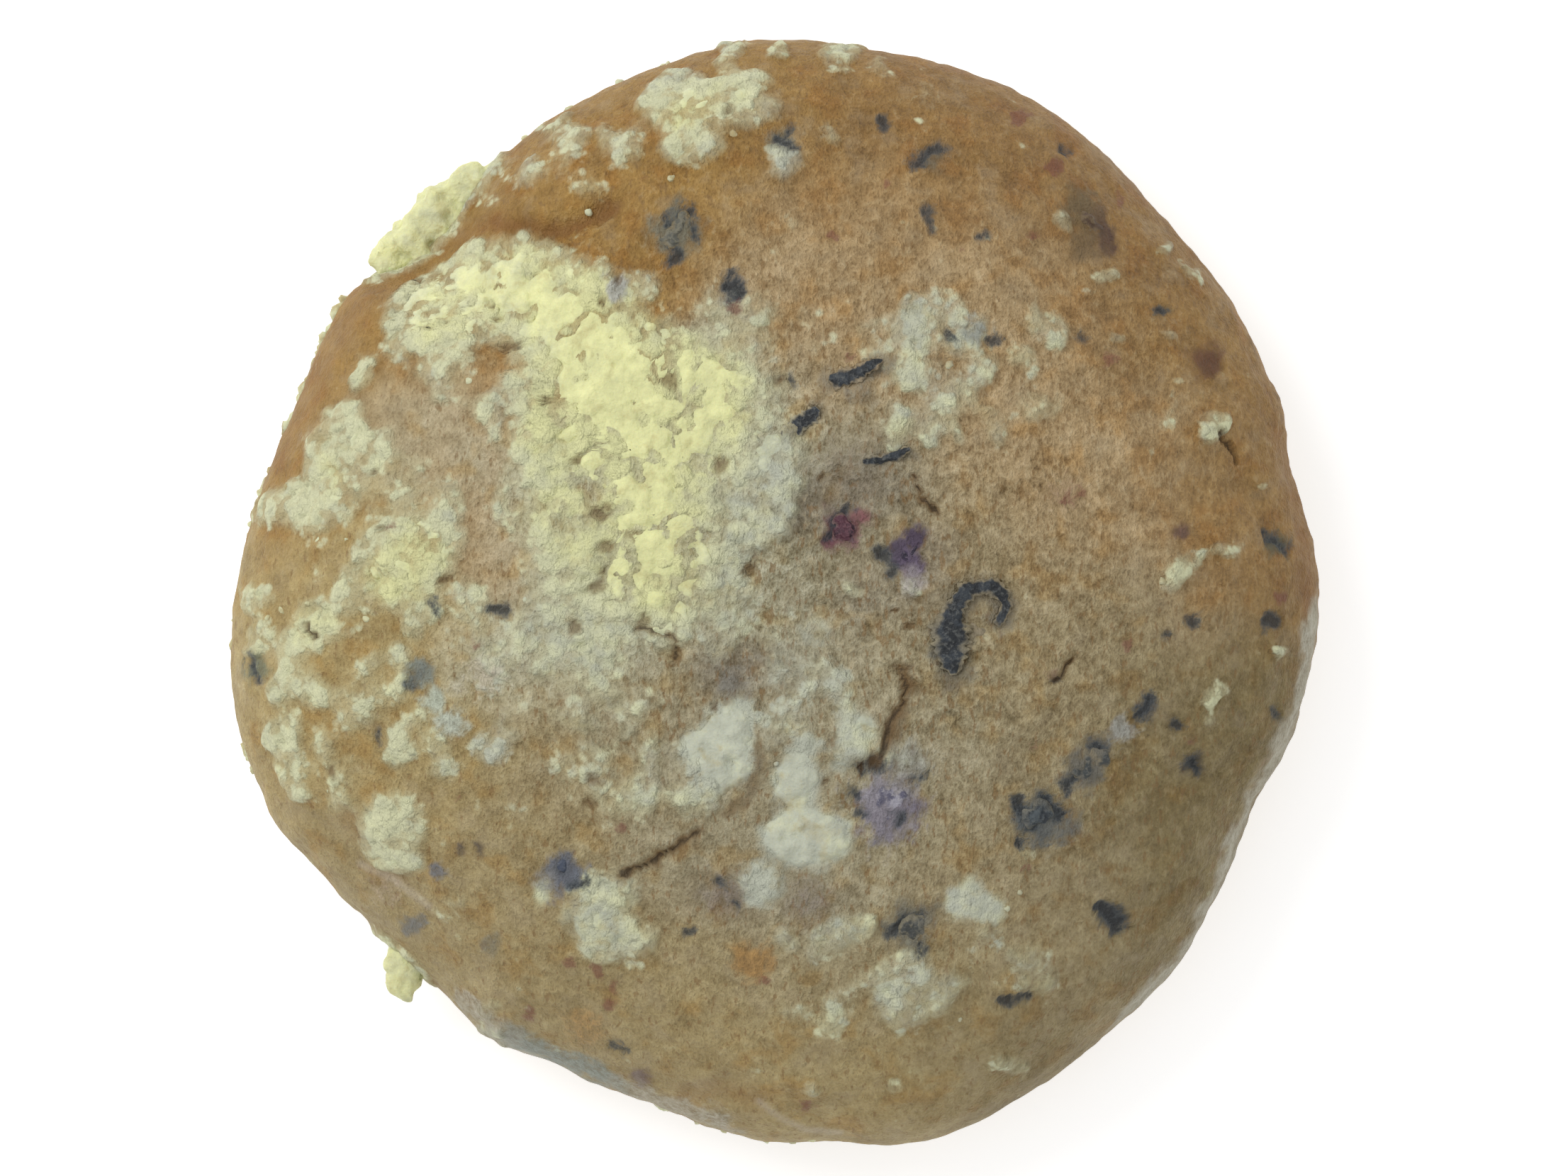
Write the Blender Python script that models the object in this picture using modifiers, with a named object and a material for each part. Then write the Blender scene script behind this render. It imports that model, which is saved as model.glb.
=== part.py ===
"""A blueberry muffin top with butter crumble baked into its crust, at its real size.

The cake is one solid with its small crumbs fused on. Each berry and each large piece of crumble is an
object of its own, sunk in a pocket of the crust. +Z is up and +X is to the right. The origin is on the
surface that the muffin top rests on, under the middle of its outline.
Lengths are named in millimetres, and MM turns them into Blender's metres.
"""

import math
import random

import bmesh
import bpy
from mathutils import Quaternion, Vector, noise

MM = 0.001
SEED = 11
LUMP_GRAIN = 1.7  # how quickly the unevenness of a lump changes over it
LUMP_UNEVENNESS = 0.25
BERRY_UNEVENNESS = 0.08

# The cake: a low dome that rolls over at its rim and curves in to a flat foot.
CROWN_HEIGHT = 28.5
RIM_HEIGHT = 9.0
FOOT_INSET = 5.5
DOME_FLATNESS = 2.5
SIDE_SHARE = 0.28  # the part of the lower half's mesh that goes to the side, and the rest to the foot
CAKE_SUBDIVISIONS = 5
# The rim's radius every 15 degrees, anticlockwise from +X.
RIM_RADII = (
    51.0, 49.8, 50.6, 50.6, 52.0, 52.0, 51.9, 50.3, 48.6, 45.6, 48.7, 48.9,
    50.7, 52.0, 50.4, 48.6, 49.5, 49.3, 51.8, 53.4, 52.4, 51.7, 49.8, 50.3,
)  # fmt: skip

# Broad swells and hollows of the crust: x, y, radius, height.
SWELLS = (
    (-8.0, 41.0, 9.0, 1.2),
    (22.0, 24.0, 15.0, 0.9),
    (-36.0, 6.0, 9.0, 0.8),
    (26.0, -30.0, 13.0, 0.7),
    (-24.0, -26.0, 10.0, 0.8),
    (8.0, 4.0, 8.0, -1.0),
    (-1.0, -4.0, 7.0, -0.6),
    (4.0, -30.0, 9.0, -0.5),
)
# Folds of the batter, as ridges above 0 and creases below it: width, height, and the places it runs through.
FOLDS = (
    (2.4, 1.5, ((-44.0, 14.0), (-42.0, 21.0), (-38.5, 27.0), (-33.0, 31.6), (-26.0, 33.8))),
    (1.9, -1.5, ((-25.0, 32.6), (-21.0, 32.6), (-16.0, 34.8))),
    (1.8, -1.3, ((-42.0, -22.0), (-36.0, -27.4), (-33.0, -31.0), (-31.6, -36.0))),
    (1.8, -1.3, ((-3.5, -46.5), (0.5, -48.5), (6.0, -49.8))),
    (1.7, -1.0, ((44.0, 9.5), (48.0, 7.0), (52.0, 6.0))),
)
RIPPLES = ((13.0, 0.7), (6.0, 0.35))  # the crust's unevenness: size of a ripple and its height

# Splits in the crust: half-width, and the places each runs through. Crumbs keep this far from them.
CRACK_MARGIN = 1.5
CRACKS = {
    "low": (0.45, ((-13.6, -25.8), (-10.6, -24.6), (-9.2, -23.0), (-7.2, -21.8))),
    "middle": (0.6, ((11.2, -8.6), (11.6, -11.2), (9.8, -13.6), (8.2, -15.6))),
}

# Large pieces of crumble, each a run of lumps: x, y, radius. RISE is how far they stand above the crust.
CRUMBLE_RISE = 1.3
CRUMBLE_THICKNESS = 0.62  # a lump's height over its width
CRUMBLE_TRIANGLES = 36  # for each lump of a piece
MELT_SIZE = 0.4  # how finely the lumps of a piece run together
CRUMBLES = {
    "crumble_band": (
        (-33.0, 26.0, 2.6), (-29.0, 28.3, 3.4), (-24.0, 28.2, 3.7), (-19.6, 26.0, 3.6),
        (-23.0, 24.2, 2.6), (-16.8, 22.0, 3.8), (-13.6, 19.0, 4.2), (-9.4, 20.4, 3.2),
        (-16.4, 17.6, 3.0), (-11.4, 15.6, 4.0), (-7.2, 15.8, 3.3), (-4.6, 18.8, 2.9),
        (-12.6, 11.2, 3.5), (-10.8, 6.6, 3.8), (-12.4, 2.4, 3.5), (-8.4, 1.4, 3.3), (-9.8, -1.4, 2.6),
    ),
    "crumble_band_edge": ((-1.4, 13.6, 2.5), (-0.9, 11.0, 2.7), (-1.2, 7.9, 2.0)),
    "crumble_left_upper": ((-40.4, 14.8, 1.8), (-41.0, 12.2, 2.4), (-42.0, 9.2, 2.2), (-39.4, 10.2, 1.8)),
    "crumble_left_lower": ((-31.6, 5.2, 2.1), (-33.8, 3.8, 3.1), (-36.6, 2.9, 1.9), (-32.8, 1.0, 2.4)),
    "crumble_top": ((-9.4, 46.2, 2.6), (-6.6, 45.2, 2.8), (-3.2, 46.0, 2.5), (-7.7, 42.4, 2.0)),
    "crumble_centre_left": ((-5.4, -12.8, 3.1), (-5.0, -15.8, 3.0), (-7.2, -14.9, 2.4)),
    "crumble_centre": (
        (2.2, -15.0, 2.1), (1.9, -17.8, 2.3), (3.0, -22.6, 3.7), (0.8, -23.0, 2.5), (5.0, -24.0, 2.5),
    ),
    "crumble_centre_right": ((7.8, -11.8, 1.6), (6.6, -13.4, 1.7)),
    "crumble_lower_left": ((-16.0, -29.4, 2.5), (-14.8, -31.4, 2.0)),
    "crumble_low": ((12.0, -37.2, 2.3), (14.0, -36.8, 1.6)),
    "crumble_far_left": ((-35.8, -23.6, 2.1), (-34.8, -21.2, 1.7)),
}  # fmt: skip
# Crumble stuck to the side under the rim: the lumps' heights above the table, then the lumps.
RIM_CRUMBLES = {
    "crumble_rim_upper": (
        10.0,
        ((-26.4, 38.8, 1.8), (-28.9, 38.0, 2.5), (-31.6, 35.9, 2.8), (-34.4, 33.4, 2.6), (-36.6, 31.4, 1.9)),
    ),
    "crumble_rim_lower": (9.0, ((-35.4, -32.2, 1.9), (-35.0, -35.0, 2.3), (-35.2, -37.0, 1.8))),
}

# Berries that show in the crust: x, y, half-length, half-width, and the turn of the length from +X.
BERRY_THICKNESS = 0.8
BERRY_RISE = 0.35
BERRIES = {
    "berry_ring": (18.2, -3.4, 4.3, 3.2, 60.0),
    "berry_red": (6.3, 6.0, 2.5, 2.2, 40.0),
    "berry_purple": (12.0, 3.9, 3.0, 2.0, 60.0),
    "berry_split": (10.7, -19.5, 3.6, 3.0, 10.0),
    "berry_upper_right": (29.2, 34.4, 3.4, 2.3, -60.0),
    "berry_upper_left": (-9.3, 33.4, 3.0, 2.1, 75.0),
    "berry_right": (29.0, -16.2, 3.4, 1.9, 42.0),
    "berry_lower_right": (24.2, -20.8, 2.6, 2.4, 0.0),
    "berry_low": (12.6, -31.0, 2.9, 2.6, 70.0),
    "berry_lower_left": (-19.8, -25.6, 2.0, 1.8, -30.0),
}
CLEARANCE = 0.6  # from a berry or a piece of crumble to the pocket it lies in

# Small crumbs fused to the crust, as fields of them: x, y, field radius, how many.
CRUMB_FIELDS = (
    (-38.0, 0.0, 12.0, 12),
    (-34.0, -14.0, 11.0, 7),
    (-20.0, 40.0, 9.0, 6),
    (-26.0, 14.0, 10.0, 4),
    (14.0, 22.0, 9.0, 7),
    (18.0, -36.0, 12.0, 6),
    (-8.0, -30.0, 12.0, 4),
    (30.0, 4.0, 18.0, 3),
    (10.0, 44.0, 12.0, 3),
)
CRUMB_RADIUS = (0.9, 1.7)
CRUMB_WIDTH = (0.7, 1.0)  # a crumb's width over its length
CRUMB_THICKNESS = 0.8  # and its thickness over its length
CRUMB_RISE = 0.55  # the part of a crumb's radius that stands above the crust
CRUMB_SPACING = 0.5  # the least gap between crumbs, and from a crumb to a pocket
CRUMB_RIM_SHARE = 0.95  # no crumb lies nearer the rim than this share of its radius
CRUMB_TRIES = 400  # how many places are tried for the crumbs of a field

# Colours (linear), roughness.
MATERIALS = {
    "crust": ((0.36, 0.19, 0.075), 0.75),
    "butter_crumble": ((0.80, 0.70, 0.36), 0.9),
    "pale_crumble": ((0.62, 0.58, 0.42), 0.9),
    "berry_skin": ((0.03, 0.035, 0.06), 0.5),
    "berry_flesh": ((0.13, 0.04, 0.11), 0.6),
}
PALE_CRUMBLES = {
    "crumble_band_edge",
    "crumble_centre_left",
    "crumble_centre",
    "crumble_centre_right",
    "crumble_lower_left",
    "crumble_low",
}
FLESHY_BERRIES = {"berry_red", "berry_purple", "berry_split"}


def rim_radius(angle):
    """The rim's radius in one direction, on a smooth closed curve through RIM_RADII."""
    count = len(RIM_RADII)
    place = angle % math.tau * count / math.tau
    first = int(place)
    t = place - first
    p, q, r, s = (RIM_RADII[(first + k) % count] for k in (-1, 0, 1, 2))
    return q + 0.5 * t * (r - p + t * (2 * p - 5 * q + 4 * r - s + t * (3 * (q - r) + s - p)))


def distance_to_run(x, y, places):
    """How far a place on the plan is from a line of places."""
    here = Vector((x, y))
    nearest = math.inf
    for start, end in zip(places, places[1:]):
        a, along = Vector(start), Vector(end) - Vector(start)
        t = max(0.0, min(1.0, (here - a).dot(along) / along.length_squared))
        nearest = min(nearest, (here - a - along * t).length)
    return nearest


def relief(x, y):
    """The crust's swells, folds and ripples: how far it lies above the plain dome."""
    height = sum(h * math.exp(-((x - cx) ** 2 + (y - cy) ** 2) / r**2) for cx, cy, r, h in SWELLS)
    height += sum(h * math.exp(-((distance_to_run(x, y, run) / w) ** 2)) for w, h, run in FOLDS)
    return height + sum(h * noise.noise(Vector((x / size, y / size, SEED))) for size, h in RIPPLES)


def crust_height(x, y):
    """The crust's height above the table at a place on the plan, inside the rim."""
    share = min(1.0, math.hypot(x, y) / rim_radius(math.atan2(y, x)))
    dome = (CROWN_HEIGHT - RIM_HEIGHT) * math.sqrt(1 - share**DOME_FLATNESS)
    return RIM_HEIGHT + dome + relief(x, y) * (1 - share**8)


def crust_normal(x, y):
    """The direction that faces out of the crust at a place on the plan."""
    step = 0.5
    slope_x = (crust_height(x + step, y) - crust_height(x - step, y)) / (2 * step)
    slope_y = (crust_height(x, y + step) - crust_height(x, y - step)) / (2 * step)
    return Vector((-slope_x, -slope_y, 1)).normalized()


def cake_point(direction):
    """Where a point of a unit sphere goes: the upper half to the dome, the lower half to the side and the foot."""
    angle = math.atan2(direction.y, direction.x)
    flat = math.hypot(direction.x, direction.y)
    rim = rim_radius(angle)
    if direction.z >= 0:
        x, y = rim * flat * math.cos(angle), rim * flat * math.sin(angle)
        return Vector((x, y, crust_height(x, y)))
    down = math.atan2(-direction.z, flat) / (math.pi / 2)
    if down < SIDE_SHARE:
        turn = down / SIDE_SHARE * math.pi / 2
        radius = rim - FOOT_INSET * (1 - math.cos(turn))
        height = RIM_HEIGHT * (1 - math.sin(turn))
    else:
        radius = (rim - FOOT_INSET) * (1 - down) / (1 - SIDE_SHARE)
        height = 0.0
    return Vector((radius * math.cos(angle), radius * math.sin(angle), height))


def mesh_object(name, mesh_builder):
    """An object in the scene whose mesh comes from a bmesh in millimetres."""
    mesh = bpy.data.meshes.new(name)
    bmesh.ops.scale(mesh_builder, vec=(MM, MM, MM), verts=mesh_builder.verts)
    mesh_builder.to_mesh(mesh)
    mesh_builder.free()
    obj = bpy.data.objects.new(name, mesh)
    bpy.context.scene.collection.objects.link(obj)
    return obj


def cake_body():
    """The cake alone: a sphere's even mesh moved onto the dome, the side and the flat foot."""
    builder = bmesh.new()
    bmesh.ops.create_icosphere(builder, subdivisions=CAKE_SUBDIVISIONS, radius=1)
    for vertex in builder.verts:
        vertex.co = cake_point(vertex.co)
    foot = [face for face in builder.faces if all(vertex.co.z < 1e-6 for vertex in face.verts)]
    merged = bmesh.ops.dissolve_faces(builder, faces=foot)["region"]
    bmesh.ops.triangulate(builder, faces=merged)
    return mesh_object("cake", builder)


def lump(name, centre, radii, facing, turn=0.0, unevenness=LUMP_UNEVENNESS, subdivisions=2):
    """An uneven ball with its own length, width and thickness, its thickness along the way it faces."""
    builder = bmesh.new()
    bmesh.ops.create_icosphere(builder, subdivisions=subdivisions, radius=1)
    lean = Vector((0, 0, 1)).rotation_difference(facing) @ Quaternion((0, 0, 1), math.radians(turn))
    for vertex in builder.verts:
        uneven = 1 + unevenness * noise.noise(vertex.co * LUMP_GRAIN + centre)
        stretched = Vector(side * radius * uneven for side, radius in zip(vertex.co, radii))
        vertex.co = centre + lean @ stretched
    return mesh_object(name, builder)


def apply_modifiers(obj):
    """Puts what an object's modifiers make into its own mesh."""
    graph = bpy.context.evaluated_depsgraph_get()
    obj.data = bpy.data.meshes.new_from_object(obj.evaluated_get(graph))
    obj.modifiers.clear()
    return obj


def boolean(target, operation, tools):
    """Joins all the tools to the target, or cuts them from it, and then removes them."""
    group = bpy.data.collections.new(f"{target.name}_{operation.lower()}")
    for tool in tools:
        group.objects.link(tool)
    modifier = target.modifiers.new(operation.title(), "BOOLEAN")
    modifier.operation = operation
    modifier.operand_type = "COLLECTION"
    modifier.collection = group
    modifier.solver = "EXACT"
    apply_modifiers(target)
    for tool in tools:
        bpy.data.objects.remove(tool)
    bpy.data.collections.remove(group)


def joined(name, lumps, triangles):
    """One solid from lumps that run into each other, with about so many triangles."""
    builder = bmesh.new()
    for piece in lumps:
        builder.from_mesh(piece.data)
    mesh = bpy.data.meshes.new(name)
    builder.to_mesh(mesh)
    builder.free()
    for piece in lumps:
        bpy.data.objects.remove(piece)
    solid = bpy.data.objects.new(name, mesh)
    bpy.context.scene.collection.objects.link(solid)
    melt = solid.modifiers.new("Melt", "REMESH")
    melt.mode = "VOXEL"
    melt.voxel_size = MELT_SIZE * MM
    apply_modifiers(solid)
    coarser = solid.modifiers.new("Coarser", "DECIMATE")
    coarser.use_collapse_triangulate = True
    coarser.ratio = triangles / (2 * len(solid.data.polygons))
    return apply_modifiers(solid)


def crumble(name, lumps, height=None, grown=0.0):
    """A piece of crumble: its lumps in one solid, sunk in the crust or, with a height, at the side."""
    pieces = []
    for x, y, radius in lumps:
        thickness = radius * CRUMBLE_THICKNESS
        if height is None:
            facing = crust_normal(x, y)
            centre = Vector((x, y, crust_height(x, y))) + facing * (CRUMBLE_RISE - thickness)
        else:
            facing = Vector((x, y, 0)).normalized()
            centre = Vector((x, y, height))
        radii = (radius + grown, radius + grown, thickness + grown)
        pieces.append(lump(name, centre, radii, facing))
    return joined(name, pieces, CRUMBLE_TRIANGLES * len(lumps))


def berry(name, x, y, half_length, half_width, turn, grown=0.0):
    """A berry that lies in the crust with its top just proud of it."""
    thickness = BERRY_THICKNESS * half_width
    facing = crust_normal(x, y)
    centre = Vector((x, y, crust_height(x, y))) + facing * (BERRY_RISE - thickness)
    radii = (half_length + grown, half_width + grown, thickness + grown)
    return lump(name, centre, radii, facing, turn, BERRY_UNEVENNESS)


def inclusions(suffix="", grown=0.0):
    """Every large piece of crumble and every berry, or the same shapes grown all round."""
    made = [crumble(name + suffix, lumps, None, grown) for name, lumps in CRUMBLES.items()]
    for name, (height, lumps) in RIM_CRUMBLES.items():
        made.append(crumble(name + suffix, lumps, height, grown))
    return made + [berry(name + suffix, *sizes, grown=grown) for name, sizes in BERRIES.items()]


def crack(name, half_width, places):
    """A thin cutter that runs along a split, with its middle on the crust."""
    curve = bpy.data.curves.new(name, "CURVE")
    curve.dimensions = "3D"
    curve.bevel_depth = half_width * MM
    curve.bevel_resolution = 0
    curve.use_fill_caps = True
    spline = curve.splines.new("POLY")
    spline.points.add(len(places) - 1)
    for point, (x, y) in zip(spline.points, places):
        point.co = (x * MM, y * MM, crust_height(x, y) * MM, 1)
    guide = bpy.data.objects.new(name, curve)
    bpy.context.scene.collection.objects.link(guide)
    graph = bpy.context.evaluated_depsgraph_get()
    mesh = bpy.data.meshes.new_from_object(guide.evaluated_get(graph))
    bpy.data.objects.remove(guide)
    builder = bmesh.new()
    builder.from_mesh(mesh)
    bmesh.ops.remove_doubles(builder, verts=builder.verts, dist=1e-6)
    bmesh.ops.recalc_face_normals(builder, faces=builder.faces)
    builder.to_mesh(mesh)
    builder.free()
    cutter = bpy.data.objects.new(name, mesh)
    bpy.context.scene.collection.objects.link(cutter)
    return cutter


def kept_clear():
    """The places that crumbs stay off: x, y, radius."""
    places = [lump_size for lumps in CRUMBLES.values() for lump_size in lumps]
    places += [(x, y, half_length) for x, y, half_length, *_ in BERRIES.values()]
    return places + [(x, y, CRACK_MARGIN) for _, run in CRACKS.values() for x, y in run]


def crumbs():
    """The small crumbs of every field, clear of each other, of the rim and of what is set in the crust."""
    draw = random.Random(SEED)
    taken = kept_clear()
    made = []
    for field_x, field_y, field_radius, count in CRUMB_FIELDS:
        wanted = len(made) + count
        for _ in range(CRUMB_TRIES):
            if len(made) == wanted:
                break
            bearing, out = draw.uniform(0, math.tau), field_radius * math.sqrt(draw.random())
            x, y = field_x + out * math.cos(bearing), field_y + out * math.sin(bearing)
            radius = draw.uniform(*CRUMB_RADIUS)
            near_rim = math.hypot(x, y) > CRUMB_RIM_SHARE * rim_radius(math.atan2(y, x)) - radius
            crowded = any(math.hypot(x - ox, y - oy) < radius + r + CRUMB_SPACING for ox, oy, r in taken)
            if near_rim or crowded:
                continue
            taken.append((x, y, radius))
            facing = crust_normal(x, y)
            thickness = radius * CRUMB_THICKNESS
            centre = Vector((x, y, crust_height(x, y))) + facing * (CRUMB_RISE * radius - thickness)
            radii = (radius, radius * draw.uniform(*CRUMB_WIDTH), thickness)
            made.append(lump("crumb", centre, radii, facing, draw.uniform(0, 180), subdivisions=1))
    return made


def dress(obj, material_name):
    """Gives an object its material and smooth shading, and files it with the muffin top."""
    material = bpy.data.materials.get(material_name)
    if material is None:
        colour, roughness = MATERIALS[material_name]
        material = bpy.data.materials.new(material_name)
        material.use_nodes = True
        shader = material.node_tree.nodes["Principled BSDF"]
        shader.inputs["Base Color"].default_value = (*colour, 1)
        shader.inputs["Roughness"].default_value = roughness
        shader.inputs["Metallic"].default_value = 0
    obj.data.materials.clear()
    obj.data.materials.append(material)
    obj.data.shade_smooth()
    bpy.context.scene.collection.objects.unlink(obj)
    bpy.data.collections["muffin_top"].objects.link(obj)


def material_for(name):
    """The material of a piece, by its name."""
    if name == "cake":
        return "crust"
    if name.startswith("berry"):
        return "berry_flesh" if name in FLESHY_BERRIES else "berry_skin"
    return "pale_crumble" if name in PALE_CRUMBLES else "butter_crumble"


def main():
    for obj in list(bpy.data.objects):
        bpy.data.objects.remove(obj)
    collection = bpy.data.collections.new("muffin_top")
    bpy.context.scene.collection.children.link(collection)
    cake = cake_body()
    pieces = inclusions()
    cracks = [crack(f"crack_{name}", half_width, run) for name, (half_width, run) in CRACKS.items()]
    boolean(cake, "DIFFERENCE", inclusions("_pocket", CLEARANCE) + cracks)
    boolean(cake, "UNION", crumbs())
    for piece in [cake, *pieces]:
        dress(piece, material_for(piece.name))


main()
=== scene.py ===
"""Looks of the muffin top: crust, crumble, berries, crumbs, light and camera. Sizes are in millimetres."""

import math
import random
from functools import cached_property

import bmesh
import bpy
import numpy as np
from mathutils import Matrix, Vector, kdtree, noise
from mathutils.bvhtree import BVHTree


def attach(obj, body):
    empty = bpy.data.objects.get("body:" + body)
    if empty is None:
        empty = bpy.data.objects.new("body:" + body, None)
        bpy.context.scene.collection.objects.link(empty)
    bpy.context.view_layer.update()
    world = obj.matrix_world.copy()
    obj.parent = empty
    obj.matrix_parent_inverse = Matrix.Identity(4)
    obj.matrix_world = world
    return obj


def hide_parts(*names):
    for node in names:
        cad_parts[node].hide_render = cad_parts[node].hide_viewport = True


MM = 0.001
SEED = 11

# fmt: off
# ---------------------------------------------------------------- the cake's form, as in the model's source
CROWN_HEIGHT = 28.5
RIM_HEIGHT = 9.0
FOOT_INSET = 5.5
DOME_FLATNESS = 2.5
MEAN_RADIUS = 51
RIM_RADII = (
    51, 49.8, 50.6, 50.6, 52, 52, 51.9, 50.3, 48.6, 45.6, 48.7, 48.9, 50.7, 52, 50.4, 48.6, 49.5, 49.3, 51.8,
    53.4, 52.4, 51.7, 49.8, 50.3,
)
# Where the outline swells or sinks between those radii: angle in degrees, width in degrees, height.
RIM_SWELLS = (
    (144, 4, 1.3), (157, 5, -0.5), (20, 4, 0.7), (82, 4, -0.5), (205, 4, 0.6), (236, 3, 0.4), (245, 4, -0.6),
    (276, 5, -0.9), (308, 5, -0.4), (336, 5, -0.8),
)
# Broad swells and dips of the dome: x, y, radius, height.
SWELLS = (
    (-8, 41, 9, 1.2), (22, 24, 15, 0.9), (-36, 6, 9, 0.8), (26, -30, 13, 0.7), (-24, -26, 10, 0.8),
    (8, 4, 8, -1), (-1, -4, 7, -0.6), (4, -30, 9, -0.5),
)
# Folds of the crust: half-width, height and the run.
FOLDS = (
    (2.4, 1.5, ((-44, 14), (-42, 21), (-38.5, 27), (-33, 31.6), (-26, 33.8))),
    (1.9, -1.5, ((-25, 32.6), (-21, 32.6), (-16, 34.8))),
    (1.8, -1.3, ((-42, -22), (-36, -27.4), (-33, -31), (-31.6, -36))),
    (1.8, -1.3, ((-3.5, -46.5), (0.5, -48.5), (6, -49.8))), (1.7, -1, ((44, 9.5), (48, 7), (52, 6))),
)
# Noise over the whole dome: size, height.
RIPPLES = ((13, 0.7), (6, 0.35))

# ---------------------------------------------------------------- colours, in sRGB
TINTS = {
    "caramel": (152, 118, 60),
    "brown": (143, 109, 58),
    "golden": (156, 138, 95),
    "honey": (167, 146, 96),
    "rosy": (174, 149, 109),
    "tan": (155, 140, 105),
    "greyed": (160, 150, 120),
    "shade": (126, 110, 70),
    "dusky": (120, 111, 98),
    "bleached": (184, 180, 152),
}
SIDE = (166, 159, 138)
UNDER = (176, 156, 118)
ASH = (188, 191, 173)
CREAM = (209, 210, 172)
BUTTER = (219, 219, 163)
NAVY = (72, 78, 82)
INK = (38, 42, 46)
SKIN = ((28, 32, 36), (50, 56, 62), (92, 94, 92))
# Painted shade in the creases of crumble.
CRUMB_CREASE_SHADE = (164, 146, 98)
WARM_FILTER = (252, 238, 214)
GREY_CRUST = (172, 158, 130)
# Painted highlights on the crust's grains.
GRAIN_HIGHLIGHT = (196, 180, 142)
# Painted shade in the crust's pores.
PORE_SHADE = (130, 100, 58)
# Painted shade along the crust's folds.
FOLD_SHADE = (126, 84, 42)
RED_SPECK = (116, 62, 50)
# The brown crust inside splits and holes, and the painted shade deep in them.
HOLLOW, HOLLOW_SHADE = (118, 90, 54), (74, 56, 36)
SHINE = (200, 188, 170)
# Each berry's dark, light and dusty colours.
BERRY_LOOKS = {
    "berry_ring": ((122, 112, 90), (144, 132, 108), (152, 140, 114)),
    "berry_red": ((48, 30, 40), (82, 46, 58), (118, 80, 88)),
    "berry_purple": ((40, 34, 50), (72, 58, 84), (122, 108, 122)),
    "berry_split": ((92, 90, 108), (156, 153, 163), (168, 165, 168)),
    "berry_upper_right": ((82, 62, 46), (108, 90, 64), (120, 102, 74)),
    "berry_upper_left": ((84, 84, 76), (114, 110, 94), (122, 118, 98)),
    "berry_right": ((62, 66, 66), (98, 98, 92), (114, 112, 102)),
    "berry_lower_right": ((40, 46, 52), (74, 82, 86), (92, 96, 94)),
    "berry_low": ((64, 66, 64), (104, 102, 92), (118, 114, 98)),
    "berry_lower_left": ((66, 74, 90), (92, 98, 110), (104, 108, 114)),
}
BURST_BERRIES = ("berry_red", "berry_purple", "berry_split")

# ---------------------------------------------------------------- what lies in the crust
# Where each tint lies: x, y, radius.
TINT_PATCHES = {
    "caramel": (
        (-38, 24, 9), (-30, 33, 8), (-20, 38, 9), (-2, 49, 9), (-46, 12, 7), (-9, 37, 8), (-44, 18, 6),
        (44, 9, 5), (40, 22, 5),
    ),
    "brown": (
        (18, 46, 11), (30, 38, 11), (41, 25, 10), (47, 11, 8), (11, 41, 9), (48, 0, 6), (42, 6, 6),
        (34, 25, 6),
    ),
    "rosy": (
        (24, 22, 6), (7, 30, 8), (19, 28, 8), (28, 14, 10), (34, 6, 9), (20, 22, 8), (0, 29, 6), (-26, 4, 4),
        (-30, 15, 6),
    ),
    "tan": (
        (24, -10, 9), (21, 2, 7), (32, -6, 7), (26, -4, 6), (18, -26, 6), (-18, -16, 8), (25, -33, 8),
        (28, -26, 6),
    ),
    "greyed": (
        (2, -8, 8), (4, -22, 9), (-8, -24, 7), (8, 0, 6), (2, -33, 8), (15, -14, 6), (8, 12, 6),
        (-12, -12, 6),
    ),
    "golden": (
        (-24, -20, 8), (-36, -24, 9), (-27, -32, 8), (-14, -40, 8), (2, -43, 8), (14, -41, 8), (-16, -32, 7),
        (23, -35, 6),
    ),
    "honey": (
        (-43, -12, 9), (-40, 2, 8), (-47, -3, 6), (-34, -12, 7), (-3, -38, 7), (1, -47, 5), (9, -46, 4),
        (-33, -17, 5),
    ),
    # Darker crust on the lower right rim, partly painted shade.
    "shade": ((37, -20, 8), (37, -31, 8), (45, -8, 6), (24, -45, 6), (38, -12, 7)),
    "bleached": (
        (-22, 3, 4), (-16, -4, 5), (-1, 13, 4.5), (-19, 9, 5), (-4, 22, 4), (-27, -7, 4), (0, 0, 4),
        (-15, 8, 4), (-34, 15.5, 3.5), (-29, 12, 2.5),
    ),
    "dusky": (
        (-4, -8, 3.6), (-6, -28, 3), (3, -28.5, 3), (-1, -6.5, 2.5), (8, 9, 3.6), (3, 8, 3), (14, 2, 3),
        (8, -1, 3),
    ),
}
# Bands of pale side that show beyond the crust's edge: half-width and the run.
SIDE_BANDS = (
    (1, ((52.8, 1), (50.2, -4), (49.7, -8), (49, -11.4), (47.2, -15.4), (44.6, -20.4), (42.8, -25),
      (40.6, -30.4))),
    (0.9, ((40.6, -30.4), (37.6, -35.2), (33, -39.8), (31.6, -43.4))),
    (1.2, ((-32.6, -42.2), (-27, -41.8), (-21.3, -44.8), (-15, -48.2), (-9, -50.6), (-3, -52.2), (2, -54.4))),
)
# Shiny creases: half-width, strength and the run.
GLINTS = (
    (0.35, 1, ((-38.7, -25.3), (-35.4, -26.8), (-32.3, -29.2))),
    (0.3, 1, ((-1.6, -47.4), (0.4, -49), (2.9, -50.3), (6, -50.6))),
)
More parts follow.
